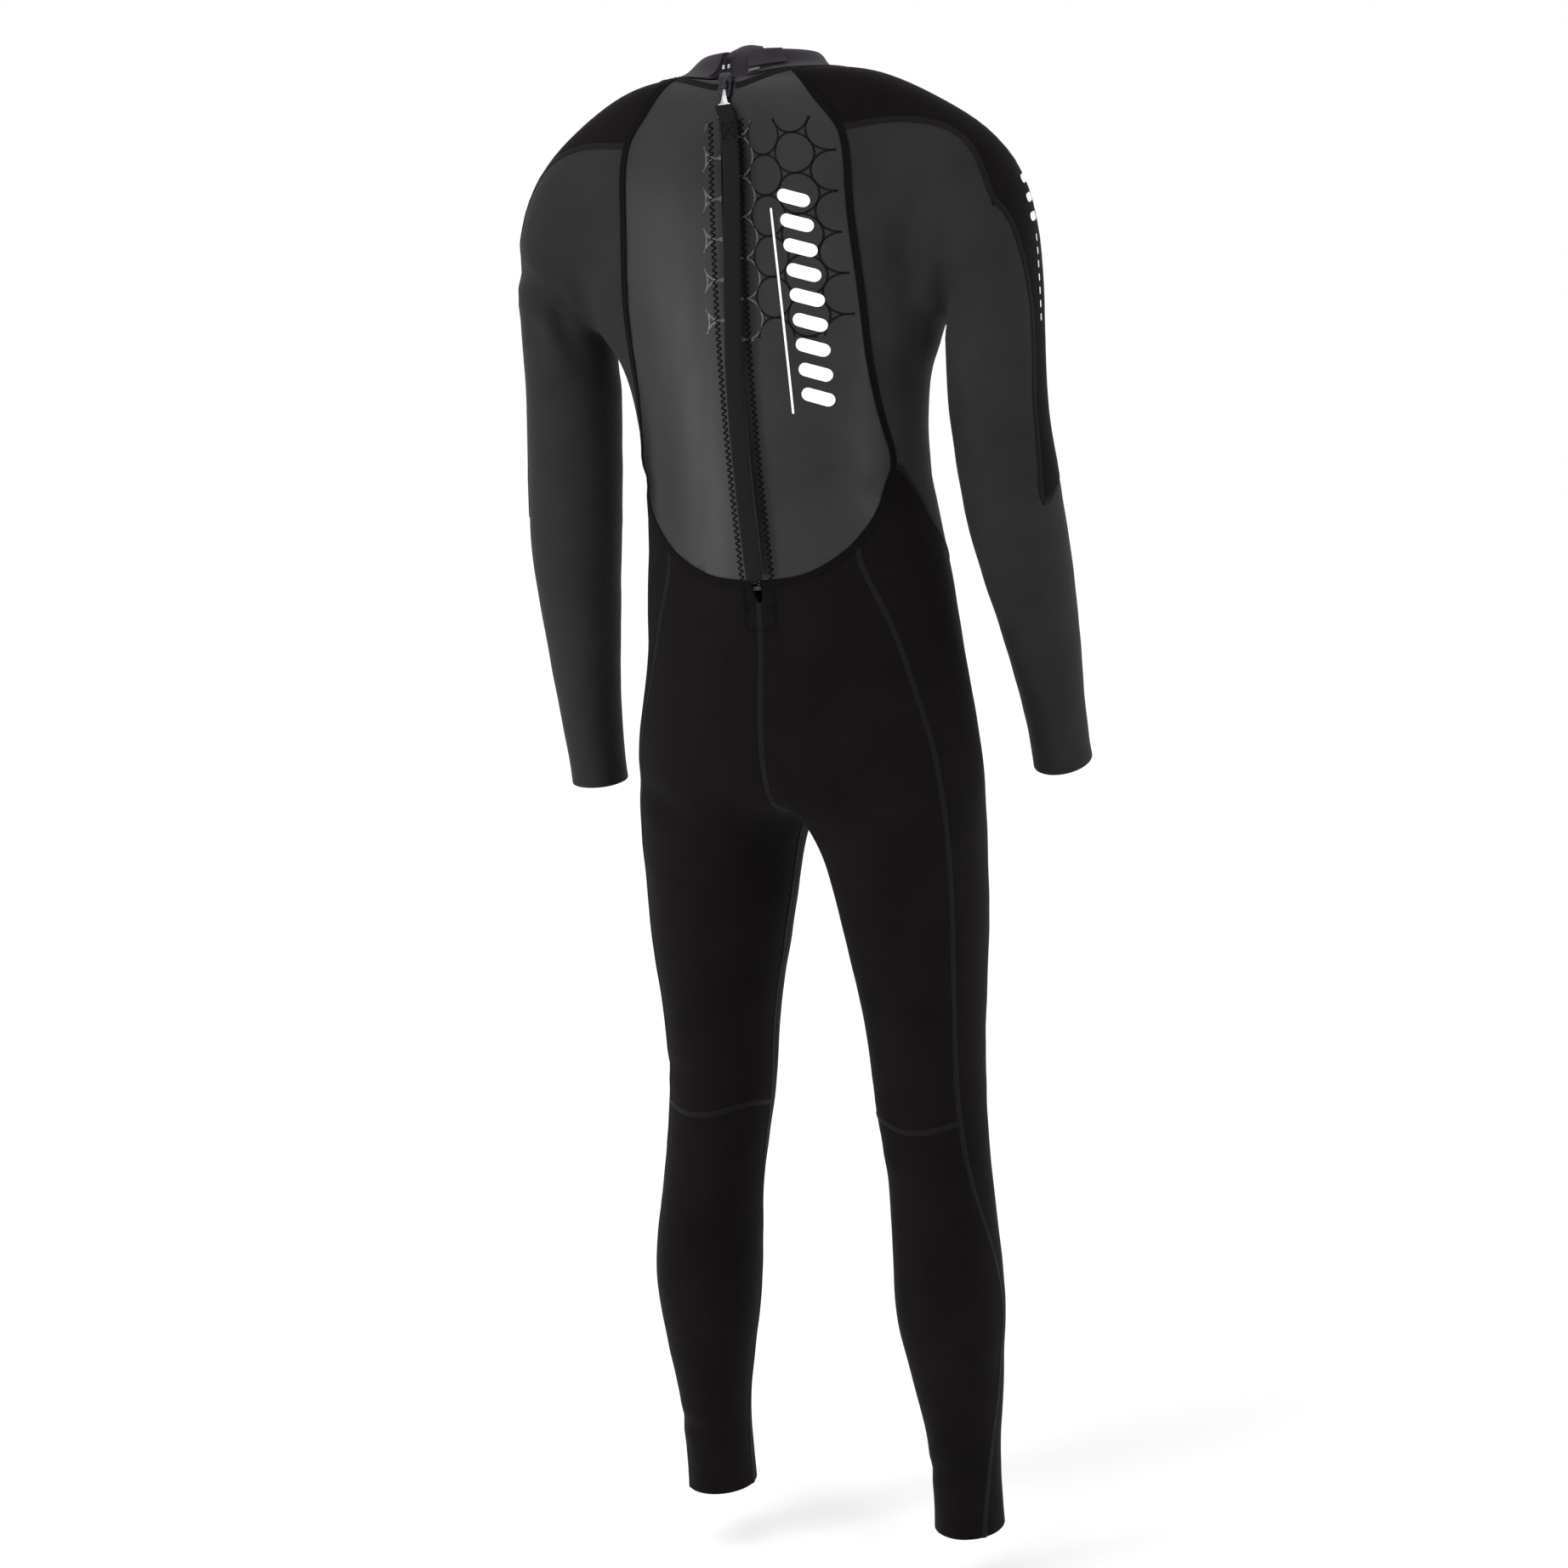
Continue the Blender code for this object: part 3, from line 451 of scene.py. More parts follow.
def zip_place(height, aside=0.0, lift=0.0):
    """A point on the zip arc at a height, moved sideways and outward."""
    rise = height - ZIP_CREST[1]
    angle = math.asin(rise / ZIP_RADIUS)
    reach = ZIP_RADIUS + lift
    y = ZIP_CREST[0] - ZIP_RADIUS + reach * math.cos(angle)
    z = up(ZIP_CREST[1]) + reach * math.sin(angle)
    x = -zip_tilt() * (NECK_HEIGHT - height)
    return Vector((x, y, z)) + zip_axis() * aside


# ---------------- skin mesh
TRUNK, ARMS, LEGS = (0,), (1, 2), (3, 4)


def knee_seam(p):
    """Positive below the seam across the back of the knee."""
    return curve(KNEE_SEAM, round_leg(p)) - height_of(p)


def arm_split(p):
    return SLEEVE_SPLIT - height_of(p)


CUTS = (
    ("slot", zip_slot, TRUNK),
    ("left", left_half, TRUNK),
    ("neck", neck_hole, TRUNK),
    ("back", back_panel, TRUNK + ARMS),
    ("chest", chest_panel, TRUNK + ARMS),
    ("lower", below_waist, TRUNK),
    ("yoke", yoke, TRUNK + ARMS),
    ("rear_leg", back_of_leg, TRUNK + LEGS),
    ("calf", knee_seam, LEGS),
    ("sleeve", arm_split, ARMS),
)


# Creases of the cloth: (x, height) points, which side of the arm or body (1 back, -1 front),
# half width and depth
FOLDS = (
    (((-0.176, 1.290), (-0.172, 1.356), (-0.190, 1.440)), 1, 0.0100, 0.0090),
    (((-0.160, 1.425), (-0.163, 1.350)), 1, 0.0090, 0.0045),
    (((-0.196, 1.300), (-0.212, 1.352)), 1, 0.0090, 0.0053),
    (((0.187, 1.272), (0.206, 1.330), (0.262, 1.380)), 1, 0.0110, 0.0090),
    (((0.172, 1.300), (0.176, 1.372)), 1, 0.0090, 0.0045),
    (((0.216, 1.290), (0.244, 1.330)), 1, 0.0090, 0.0045),
    (((-0.176, 1.300), (-0.158, 1.350), (-0.160, 1.410)), -1, 0.0110, 0.0067),
    (((0.172, 1.300), (0.156, 1.350), (0.160, 1.410)), -1, 0.0110, 0.0067),
    (((-0.275, 1.150), (-0.215, 1.128)), -1, 0.0085, 0.0045),
    (((-0.272, 1.118), (-0.218, 1.108)), -1, 0.0085, 0.0037),
    (((0.260, 1.152), (0.205, 1.130)), -1, 0.0085, 0.0045),
    (((0.262, 1.116), (0.208, 1.106)), -1, 0.0085, 0.0037),
    (((0.150, 1.166), (0.112, 1.150)), 1, 0.0100, 0.0033),
    (((-0.158, 1.150), (-0.122, 1.132)), 1, 0.0100, 0.0033),
    (((0.150, 0.846), (0.060, 0.812)), 1, 0.0120, 0.0037),
    (((-0.160, 0.842), (-0.070, 0.808)), 1, 0.0120, 0.0037),
    (((0.150, 0.545), (0.066, 0.528)), 1, 0.0090, 0.0033),
    (((0.142, 0.472), (0.070, 0.478)), 1, 0.0090, 0.0030),
    (((-0.180, 0.548), (-0.096, 0.530)), 1, 0.0090, 0.0033),
    (((-0.176, 0.476), (-0.100, 0.480)), 1, 0.0090, 0.0030),
    (((0.170, 0.150), (0.108, 0.136)), 1, 0.0080, 0.0024),
    (((-0.184, 0.146), (-0.128, 0.132)), 1, 0.0080, 0.0024),
)
FOLD_TURN = (0.045, 0.05)          # how far past the middle a crease starts to fade, and over what
FOLD_SPAN = 5                      # a crease dies out this many half widths away
FOLD_REACH = 0.12                  # creases are looked for this far from their first point
RIDGE = 0.3                        # a crease's side ridges as a share of its depth
WRINKLE = 0.0012                   # height of the cloth's slow unevenness
WAVES = ((13.0, 1.0), (31.0, 0.5))   # its waves: fineness and share
CALM_ABOVE = 1.50                  # no unevenness at the neck above this height
CALM_ZIP = (0.98, 0.030, 0.04)     # nor by the zip: from this height, this far out, fading over


def ease(value):
    """0..1 with a soft start and end."""
    value = min(max(value, 0.0), 1.0)
    return value * value * (3 - 2 * value)


def fold_height(p, at):
    """How far one crease moves the skin at p."""
    line, side, half, depth = at
    facing = ease((side * p.y + FOLD_TURN[0]) / FOLD_TURN[1])
    if facing == 0.0 or abs(p.x - line[0][0]) >= FOLD_REACH:
        return 0.0
    spot = Vector((p.x, height_of(p)))
    total = sum((Vector(b) - Vector(a)).length for a, b in zip(line, line[1:]))
    best, run = (1.0, 0.0), 0.0
    for a, b in zip(line, line[1:]):
        a, b = Vector(a), Vector(b)
        share = min(max((spot - a).dot(b - a) / (b - a).length_squared, 0.0), 1.0)
        away = (spot - a.lerp(b, share)).length
        if away < best[0]:
            best = (away, (run + (b - a).length * share) / total)
        run += (b - a).length
    away, along = best
    if away > half * FOLD_SPAN:
        return 0.0
    valley = math.exp(-(away / half) ** 2)
    ridge = math.exp(-((away - 2.0 * half) / half) ** 2)
    return depth * facing * (RIDGE * ridge - valley) * math.sin(math.pi * (0.1 + 0.8 * along))


def unevenness(p):
    """Creases and slow waves of the cloth, none of them beside the zip or at the neck."""
    height = height_of(p)
    clear = ease((CALM_ABOVE - height) / 0.05)
    from_height, inner, fade = CALM_ZIP
    if p.y > 0 and height > from_height:
        clear *= ease((abs(left_half(p)) - inner) / fade)
    waves = sum(share * noise.noise(p * fineness) for fineness, share in WAVES)
    return clear * (WRINKLE * waves + sum(fold_height(p, fold) for fold in FOLDS))


def skin_mesh():
    """The cage's smooth surface as a bmesh; material_index is the limb."""
    verts, quads, limbs = control_cage()
    mesh = bpy.data.meshes.new("figure")
    mesh.from_pydata(verts, [], quads)
    for _ in range(5):
        mesh.materials.append(None)
    mesh.polygons.foreach_set("material_index", limbs)
    figure = bpy.data.objects.new("figure", mesh)
    bpy.context.collection.objects.link(figure)
    smooth = figure.modifiers.new("smooth", "SUBSURF")
    smooth.levels = smooth.render_levels = LEVELS
    seen = figure.evaluated_get(bpy.context.evaluated_depsgraph_get())
    result = bpy.data.meshes.new_from_object(seen)
    bm = bmesh.new()
    bm.from_mesh(result)
    bpy.data.objects.remove(figure)
    bpy.data.meshes.remove(result)
    loose = [v for v in bm.verts if not v.link_faces]
    bmesh.ops.delete(bm, geom=loose, context="VERTS")
    bmesh.ops.recalc_face_normals(bm, faces=bm.faces)
    bm.normal_update()
    moves = [v.normal * unevenness(v.co) for v in bm.verts]
    for v, move in zip(bm.verts, moves):
        v.co += move
    bm.normal_update()
    return bm


def cut(bm, field, limbs, bit, layer, pinned):
    """Puts a row of points on a field's zero line and marks the faces inside it."""
    faces = [f for f in bm.faces if f.material_index in limbs]
    value = {v: field(v.co) for v in {v for f in faces for v in f.verts}}
    value = {v: 0.0 if abs(at) < ON_SEAM else at for v, at in value.items()}
    crossed = [e for e in {e for f in faces for e in f.edges}
               if value[e.verts[0]] * value[e.verts[1]] < 0]
    crossed.sort(key=lambda e: e.index)
    splits = []
    for e in crossed:
        a, b = e.verts
        if value[a] * value[b] >= 0:
            continue
        share = zero_between(a.co, b.co, field)
        near = a if share < 0.5 else b
        if min(share, 1 - share) < SNAP_SHARE and near not in pinned:
            near.co = a.co.lerp(b.co, share)
            value[near] = 0.0
            pinned.add(near)
        else:
            splits.append(e)
    for e in splits:
        a, b = e.verts
        if value[a] * value[b] < 0:
            share = zero_between(a.co, b.co, field)
            share = min(max(share, CUT_MARGIN), 1 - CUT_MARGIN)
            _, fresh = bmesh.utils.edge_split(e, a, share)
            value[fresh] = 0.0
            pinned.add(fresh)
    todo = list(faces)
    while todo:
        f = todo.pop()
        ring = list(f.verts)
        count = len(ring)
        done = None
        for i in (i for i in range(count) if value.get(ring[i], 0.0) == 0.0):
            run = 1
            while run < count and value.get(ring[(i + run) % count], 0.0) != 0.0:
                run += 1
            if 1 < run < count - 1:
                inside = [value[ring[(i + k) % count]] for k in range(1, run)]
                rest = [value.get(ring[(i + k) % count], 0.0) for k in range(run + 1, count)]
                if inside[0] * min(rest) < 0 or inside[0] * max(rest) < 0:
                    done = (ring[i], ring[(i + run) % count])
                    break
        if done:
            fresh, _ = bmesh.utils.face_split(f, *done)
            todo += [f, fresh]
    for f in bm.faces:
        if f.material_index in limbs:
            strongest = max((value.get(v, 0.0) for v in f.verts), key=abs)
            if strongest == 0.0:
                strongest = field(f.calc_center_median())
            if strongest > 0:
                f[layer] |= 1 << bit


def panel_name(limb, marks):
    """Which visible panel a face belongs to, or None where the suit is open."""
    if "slot" in marks or "neck" in marks:
        return None
    if limb == 0:
        side = "left" if "left" in marks else "right"
    else:
        side = "right" if limb in (1, 3) else "left"
    if limb in LEGS or "lower" in marks:
        if "rear_leg" not in marks:
            return "leg_front_" + side
        return ("calf_" if "calf" in marks else "seat_") + side
    if "back" in marks:
        return "back_" + side
    if "chest" in marks:
        return "chest"
    if "yoke" in marks:
        return "yoke_" + side
    return ("sleeve_" if "sleeve" in marks else "side_") + side


def cut_skin():
    """The skin cut into panels: (bmesh, {panel name: faces})."""
    bm = skin_mesh()
    layer = bm.faces.layers.int.new("marks")
    bm.edges.index_update()
    pinned = set()
    for bit, (_, field, limbs) in enumerate(CUTS):
        cut(bm, field, limbs, bit, layer, pinned)
        bm.edges.index_update()
    bm.normal_update()
    bm.verts.index_update()
    panels = {}
    for f in bm.faces:
        marks = {CUTS[bit][0] for bit in range(len(CUTS)) if f[layer] >> bit & 1}
        name = panel_name(f.material_index, marks)
        if name:
            panels.setdefault(name, []).append(f)
    return bm, panels


# ---------------- making pieces
def link(name, mesh, mat):
    """The mesh as a visible object in one material."""
    mesh.materials.clear()
    mesh.materials.append(mat)
    made = bpy.data.objects.new(name, mesh)
    bpy.context.collection.objects.link(made)
    return made


def apply_modifiers(obj):
    """The object's mesh with its modifiers made real."""
    old = obj.data
    seen = obj.evaluated_get(bpy.context.evaluated_depsgraph_get())
    obj.data = bpy.data.meshes.new_from_object(seen)
    obj.modifiers.clear()
    bpy.data.meshes.remove(old)
    return obj


def add_bevel(obj, width, segments, limit):
    """Rounds the object's edges: those with a weight, or those with a sharp angle."""
    bevel = obj.modifiers.new("edges", "BEVEL")
    bevel.width = width
    bevel.segments = segments
    bevel.limit_method = limit
    return bevel


def rounded(obj, width, segments=2, angle=30):
    """The object with its sharp edges rounded."""
    add_bevel(obj, width, segments, "ANGLE").angle_limit = math.radians(angle)
    return apply_modifiers(obj)


def seam_partner(edge, own, owner):
    """Name of the panel across an edge, or None at a hem or an opening."""
    for f in edge.link_faces:
        if f not in own:
            return owner.get(f)
    return None


def same_cloth(a, b):
    """True where two panels are one piece of cloth, parted only where the sleeve is split."""
    return {a.split("_")[0], b.split("_")[0]} == {"side", "sleeve"}


def panel_piece(name, faces, owner, mat):
    """A sheet of neoprene with rounded cut edges under one panel's faces."""
    own = set(faces)
    corners = sorted({v for f in faces for v in f.verts}, key=lambda v: v.index)
    bm = bmesh.new()
    weight = bm.edges.layers.float.new("bevel_weight_edge")
    outer = {v: bm.verts.new(v.co) for v in corners}
    inner = {v: bm.verts.new(v.co - v.normal * SHEET) for v in corners}
    for f in faces:
        bm.faces.new([outer[v] for v in f.verts])
        bm.faces.new([inner[v] for v in reversed(f.verts)])
    joined = []
    for e in sorted({e for f in faces for e in f.edges}, key=lambda e: e.index):
        if sum(1 for f in e.link_faces if f in own) != 1:
            continue
        partner = seam_partner(e, own, owner)
        if partner and same_cloth(name.removeprefix("panel_"), partner):
            joined.extend(e.verts)
            continue
        f = next(f for f in e.link_faces if f in own)
        ring = list(f.verts)
        k = next(i for i, v in enumerate(ring) if v in e.verts
                 and ring[(i + 1) % len(ring)] in e.verts)
        a, b = ring[k], ring[(k + 1) % len(ring)]
        bm.faces.new((outer[b], outer[a], inner[a], inner[b]))
        for rim in ((outer[a], outer[b]), (inner[a], inner[b])):
            bm.edges.get(rim)[weight] = 1.0
    mesh = bpy.data.meshes.new(name)
    bm.to_mesh(mesh)
    bm.free()
    mesh.shade_smooth()
    made = link(name, mesh, mat)
    add_bevel(made, EDGE_ROUND, 2, "WEIGHT")
    apply_modifiers(made)
    if joined:
        match_normals(made, joined)
    return made


def match_normals(obj, joined):
    """Gives the points on an invisible join the whole skin's normals."""
    tree = KDTree(2 * len(joined))
    for i, v in enumerate(joined):
        tree.insert(v.co, 2 * i)
        tree.insert(v.co - v.normal * SHEET, 2 * i + 1)
    tree.balance()
    normals = [v.normal.copy() for v in obj.data.vertices]
    for i, v in enumerate(obj.data.vertices):
        _, k, far = tree.find(v.co)
        if far < SAME_SPOT:
            normals[i] = joined[k // 2].normal * (1 if k % 2 == 0 else -1)
    obj.data.normals_split_custom_set_from_vertices(normals)


def strip_faces(base, rows, width, closed_rows=False, closed=False):
    """Quads between neighbouring rows of points; the rows, or the whole, may close up."""
    faces = []
    for i in range(rows if closed else rows - 1):
        j = (i + 1) % rows
        for k in range(width if closed_rows else width - 1):
            n = (k + 1) % width
            faces.append((base + i * width + k, base + i * width + n,
                          base + j * width + n, base + j * width + k))
    return faces


def mesh_of(name, verts, faces, turn_out=False):
    """A smooth-shaded mesh, its faces turned outward where asked."""
    mesh = bpy.data.meshes.new(name)
    mesh.from_pydata(verts, [], faces)
    if turn_out:
        bm = bmesh.new()
        bm.from_mesh(mesh)
        bmesh.ops.recalc_face_normals(bm, faces=bm.faces)
        bm.to_mesh(mesh)
        bm.free()
    mesh.shade_smooth()
    return mesh


def tube(name, runs, radius, mat, sides=5):
    """Round threads along several open runs of points, as one mesh."""
    verts, faces = [], []
    for run in runs:
        base = len(verts)
        for i, p in enumerate(run):
            ahead = run[min(i + 1, len(run) - 1)] - run[max(i - 1, 0)]
            ahead.normalize()
            side = ahead.orthogonal().normalized()
            if i:
                side = (last - ahead * last.dot(ahead)).normalized()
            last = side
            over = ahead.cross(side)
            for k in range(sides):
                turn = 2 * math.pi * k / sides
                verts.append(p + (side * math.cos(turn) + over * math.sin(turn)) * radius)
        faces += strip_faces(base, len(run), sides, closed_rows=True)
        faces.append([base + k for k in reversed(range(sides))])
        faces.append([base + (len(run) - 1) * sides + k for k in range(sides)])
    return link(name, mesh_of(name, verts, faces), mat)


def ribbon(name, runs, profile, mat):
    """Bands along runs of (point, normal); profile is (across, lift) points of one side up."""
    verts, faces, spots = [], [], []
    for run in runs:
        faces += strip_faces(len(verts), len(run), len(profile))
        length = 0.0
        for i, (p, normal) in enumerate(run):
            a = run[max(i - 1, 0)][0]
            b = run[min(i + 1, len(run) - 1)][0]
            across = (b - a).cross(normal).normalized()
            if i:
                length += (p - run[i - 1][0]).length
            for aside, lift in profile:
                verts.append(p + across * aside + normal * lift)
                spots.append((length, aside))
    mesh = mesh_of(name, verts, faces)
    uv = mesh.uv_layers.new(name="run")
    for loop in mesh.loops:
        uv.data[loop.index].uv = spots[loop.vertex_index]
    return link(name, mesh, mat)


def patches(name, grids, mat):
    """Thin printed patches: each grid is a list of rows of points."""
    verts, faces = [], []
    for rows in grids:
        faces += strip_faces(len(verts), len(rows), len(rows[0]))
        for row in rows:
            verts.extend(row)
    return link(name, mesh_of(name, verts, faces), mat)


def loft(name, blocks, mat):
    """Closed bars as one piece; each block is a list of equal rings of points."""
    verts, faces = [], []
    for rings in blocks:
        base, size = len(verts), len(rings[0])
        for ring in rings:
            verts.extend(ring)
        last = base + (len(rings) - 1) * size
        faces.append([base + k for k in range(size)])
        faces.append([last + k for k in reversed(range(size))])
        for a, b, c, d in strip_faces(base, len(rings), size, closed_rows=True):
            faces.append((b, a, d, c))
    return link(name, mesh_of(name, verts, faces, turn_out=True), mat)


def closed_loop(name, rings, mat):
    """Rings joined round in a closed loop."""
    faces = strip_faces(0, len(rings), len(rings[0]), closed_rows=True, closed=True)
    verts = [p for ring in rings for p in ring]
    return link(name, mesh_of(name, verts, faces, turn_out=True), mat)


def settle(piece, slot, body, *nodes):
    """States the body that a piece rides on and the nodes it replaces; its material slot is not
    used.
    """
    if nodes:
        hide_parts(*nodes)
    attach(piece, body)


# ---------------- seams as runs of points
def chains(edges):
    """Edges joined end to end into runs of vertices."""
    near = {}
    for e in edges:
        for v in e.verts:
            near.setdefault(v, []).append(e)
    left = set(edges)
    ends = sorted((v for v, es in near.items() if len(es) != 2), key=lambda v: v.index)
    runs = []
    for start in ends + sorted(near, key=lambda v: v.index):
        for first in near[start]:
            if first not in left:
                continue
            run, v, e = [start], start, first
            while e is not None:
                left.discard(e)
                v = e.other_vert(v)
                run.append(v)
                more = [x for x in near[v] if x in left]
                e = more[0] if more and len(near[v]) == 2 else None
            runs.append(run)
    return runs


def laid(points, tree, step=0.004):
    """Points smoothed, spaced evenly and laid on the skin: a run of (point, normal)."""
    points = [Vector(p) for p in points]
    for _ in range(3):
        points = ([points[0]] + [(a + b * 2 + c) / 4 for a, b, c in
                                 zip(points, points[1:], points[2:])] + [points[-1]])
    even, carry = [points[0]], 0.0
    for a, b in zip(points, points[1:]):
        length = (b - a).length
        while length > 0 and carry + length >= step:
            a = a.lerp(b, (step - carry) / length)
            even.append(a)
            length = (b - a).length
            carry = 0.0
        carry += length
    even.append(points[-1])
    return [tree.find_nearest(p)[:2] for p in even]


def seam_edges(bm, owner):
    """{frozenset of the two panels' names: edges}; a sleeve counts as its side panel."""
    found = {}
    for e in bm.edges:
        names = {owner.get(f, "opening") for f in e.link_faces}
        if len(e.link_faces) < 2:
            names.add("hem")
        names = frozenset(n.replace("sleeve", "side") for n in names)
        if len(names) == 2:
            found.setdefault(names, []).append(e)
    return found


# ---------------- materials
class Nodes:
    """A Principled material under construction."""

    def __init__(self, name, colour, roughness, **sockets):
        self.material = bpy.data.materials.new(name)
        self.material.use_nodes = True
        self.tree = self.material.node_tree
        self.shader = self.tree.nodes["Principled BSDF"]
        self.shader.inputs["Base Color"].default_value = (*colour, 1)
        self.shader.inputs["Roughness"].default_value = roughness
        self.material.diffuse_color = (*colour, 1)
        for socket, value in sockets.items():
            self.shader.inputs[socket.replace("_", " ")].default_value = value
        self.place = self.tree.nodes.new("ShaderNodeTexCoord").outputs["Object"]

    def link(self, out, into):
        self.tree.links.new(out, into)
        return out


    def stretched(self, kind, scale, stretch):
        """A texture node of about 1/scale metres, stretched along the axes."""
        shift = self.tree.nodes.new("ShaderNodeMapping")
        shift.inputs["Scale"].default_value = stretch
        self.link(self.place, shift.inputs["Vector"])
        made = self.tree.nodes.new(kind)
        made.inputs["Scale"].default_value = scale
        self.link(shift.outputs["Vector"], made.inputs["Vector"])
        return made

    def noise(self, scale, detail=2.0, stretch=(1, 1, 1)):
        made = self.stretched("ShaderNodeTexNoise", scale, stretch)
        made.inputs["Detail"].default_value = detail
        return made.outputs["Fac"]

    def cells(self, scale, stretch):
        return self.stretched("ShaderNodeTexVoronoi", scale, stretch).outputs["Distance"]

    def bands(self, period, place):
        """Rows `period` metres apart across the first axis of the given coordinates."""
        made = self.tree.nodes.new("ShaderNodeTexWave")
        made.bands_direction = "X"
        made.inputs["Scale"].default_value = 2 * math.pi / (20 * period)
        self.link(place, made.inputs["Vector"])
        return made.outputs["Fac"]

    def span(self, out, low, high, start=0.0, end=1.0):
        """start..end mapped to low..high."""
        made = self.tree.nodes.new("ShaderNodeMapRange")
        for socket, value in zip(("From Min", "From Max", "To Min", "To Max"),
                                 (start, end, low, high)):
            made.inputs[socket].default_value = value
        self.link(out, made.inputs["Value"])
        return made.outputs["Result"]

    def sum(self, a, b, share):
        """a plus share times b."""
        made = self.tree.nodes.new("ShaderNodeMath")
        made.operation = "MULTIPLY_ADD"
        made.inputs[1].default_value = share
        self.link(b, made.inputs[0])
        self.link(a, made.inputs[2])
        return made.outputs["Value"]

    def shade(self, out, dark, light, start, end):
        """Base colour from dark to light as `out` runs from start to end."""
        made = self.tree.nodes.new("ShaderNodeValToRGB")
        for stop, at, colour in zip(made.color_ramp.elements, (start, end), (dark, light)):
            stop.position = at
            stop.color = (*colour, 1)
        self.link(out, made.inputs["Fac"])
        self.link(made.outputs["Color"], self.shader.inputs["Base Color"])

    def rough(self, out, low, high, start, end):
        """Roughness from low to high as `out` runs from start to end."""
        self.link(self.span(out, low, high, start, end), self.shader.inputs["Roughness"])

    def bump(self, height, depth, strength):
        made = self.tree.nodes.new("ShaderNodeBump")
        made.inputs["Strength"].default_value = strength
        made.inputs["Distance"].default_value = depth
        self.link(height, made.inputs["Height"])
        self.link(made.outputs["Normal"], self.shader.inputs["Normal"])
        return self.material


def knit(name, dark, light, sheen, gloss):
    """Knit-faced neoprene: fine stitches, a soft nap and slow changes of shade."""
    made = Nodes(name, dark, 0.8, Sheen_Weight=sheen, Sheen_Roughness=0.45,
                 Specular_IOR_Level=gloss)
    stitch = made.cells(950, (1, 1, 0.55))
    slow = made.noise(14, 4.0)
    made.shade(made.sum(made.span(slow, 0.0, 0.75, 0.3, 0.7), stitch, 0.35), dark, light,
               0.05, 0.95)
    made.rough(slow, 0.72, 0.86, 0.3, 0.7)
    return made.bump(made.sum(stitch, made.noise(120, 3.0), 0.5), 0.00035, 0.7)


def smooth_skin(name, dark, light):
    """Glossy neoprene with its own skin: a fine grain, slow mottling and faint rub marks."""
    made = Nodes(name, light, 0.4, Specular_IOR_Level=0.21, Coat_Weight=0.03,
                 Coat_Roughness=0.3)
    slow = made.noise(9, 5.0)
    grain = made.noise(600, 3.0)
    rubs = made.noise(60, 4.0, (1, 1, 0.25))
    made.shade(made.sum(slow, grain, 0.15), dark, light, 0.35, 0.75)
    made.rough(made.sum(slow, rubs, 0.5), 0.36, 0.52, 0.5, 1.0)
    return made.bump(made.sum(grain, rubs, 0.8), 0.00012, 0.6)


def woven(name, dark, light, roughness, gloss):
    """Woven tape: fine fibres across its ribs."""
    made = Nodes(name, dark, roughness, Sheen_Weight=0.03, Sheen_Roughness=0.4,
                 Specular_IOR_Level=gloss)
    fibre = made.noise(1500, 2.0, (1, 1, 0.3))
    made.shade(fibre, dark, light, 0.3, 0.75)
    made.rough(fibre, roughness - 0.1, roughness + 0.1, 0.3, 0.7)
    return made.bump(fibre, 0.0002, 0.8)


def moulded(name, dark, light, roughness):
    """Moulded nylon with a slight haze."""
    made = Nodes(name, dark, roughness, Specular_IOR_Level=0.3)
    haze = made.noise(300, 3.0)
    made.shade(haze, dark, light, 0.3, 0.7)
    made.rough(haze, roughness - 0.08, roughness + 0.12, 0.3, 0.7)
    return made.bump(haze, 0.00005, 0.5)


def cast_metal(name, dark, light):
    """Cast zip metal with fine scratches and duller hollows."""
    made = Nodes(name, light, 0.3, Metallic=1.0)
    scratch = made.noise(2200, 3.0, (0.15, 1, 1))
    tarnish = made.noise(220, 3.0)
    made.shade(tarnish, dark, light, 0.3, 0.7)
    made.rough(made.sum(tarnish, scratch, 0.5), 0.18, 0.42, 0.4, 1.1)
    return made.bump(scratch, 0.00004, 0.5)


def printed(name, dark, light, roughness, gloss):
    """Screen-printed ink with a slight mottle."""
    made = Nodes(name, light, roughness, Specular_IOR_Level=gloss)
    mottle = made.noise(350, 4.0)
    made.shade(mottle, dark, light, 0.25, 0.6)
    made.rough(mottle, roughness - 0.08, roughness + 0.1, 0.3, 0.7)
    return made.bump(mottle, 0.00003, 0.5)


def flatlock(name, dark, light):
    """Flatlock seam: a row of slanted threads between two stitched edges."""
    made = Nodes(name, dark, 0.65, Sheen_Weight=0.02, Sheen_Roughness=0.4,
                 Specular_IOR_Level=0.09)
    run = made.tree.nodes.new("ShaderNodeUVMap")
    run.uv_map = "run"
    slant = made.tree.nodes.new("ShaderNodeMapping")
    slant.inputs["Rotation"].default_value = (0, 0, 0.5)
    made.link(run.outputs["UV"], slant.inputs["Vector"])
    threads = made.bands(0.0016, slant.outputs["Vector"])
    fuzz = made.noise(900, 2.0)
    made.shade(made.sum(threads, fuzz, 0.4), dark, light, 0.3, 1.0)
    return made.bump(made.sum(threads, fuzz, 0.3), 0.0004, 0.8)


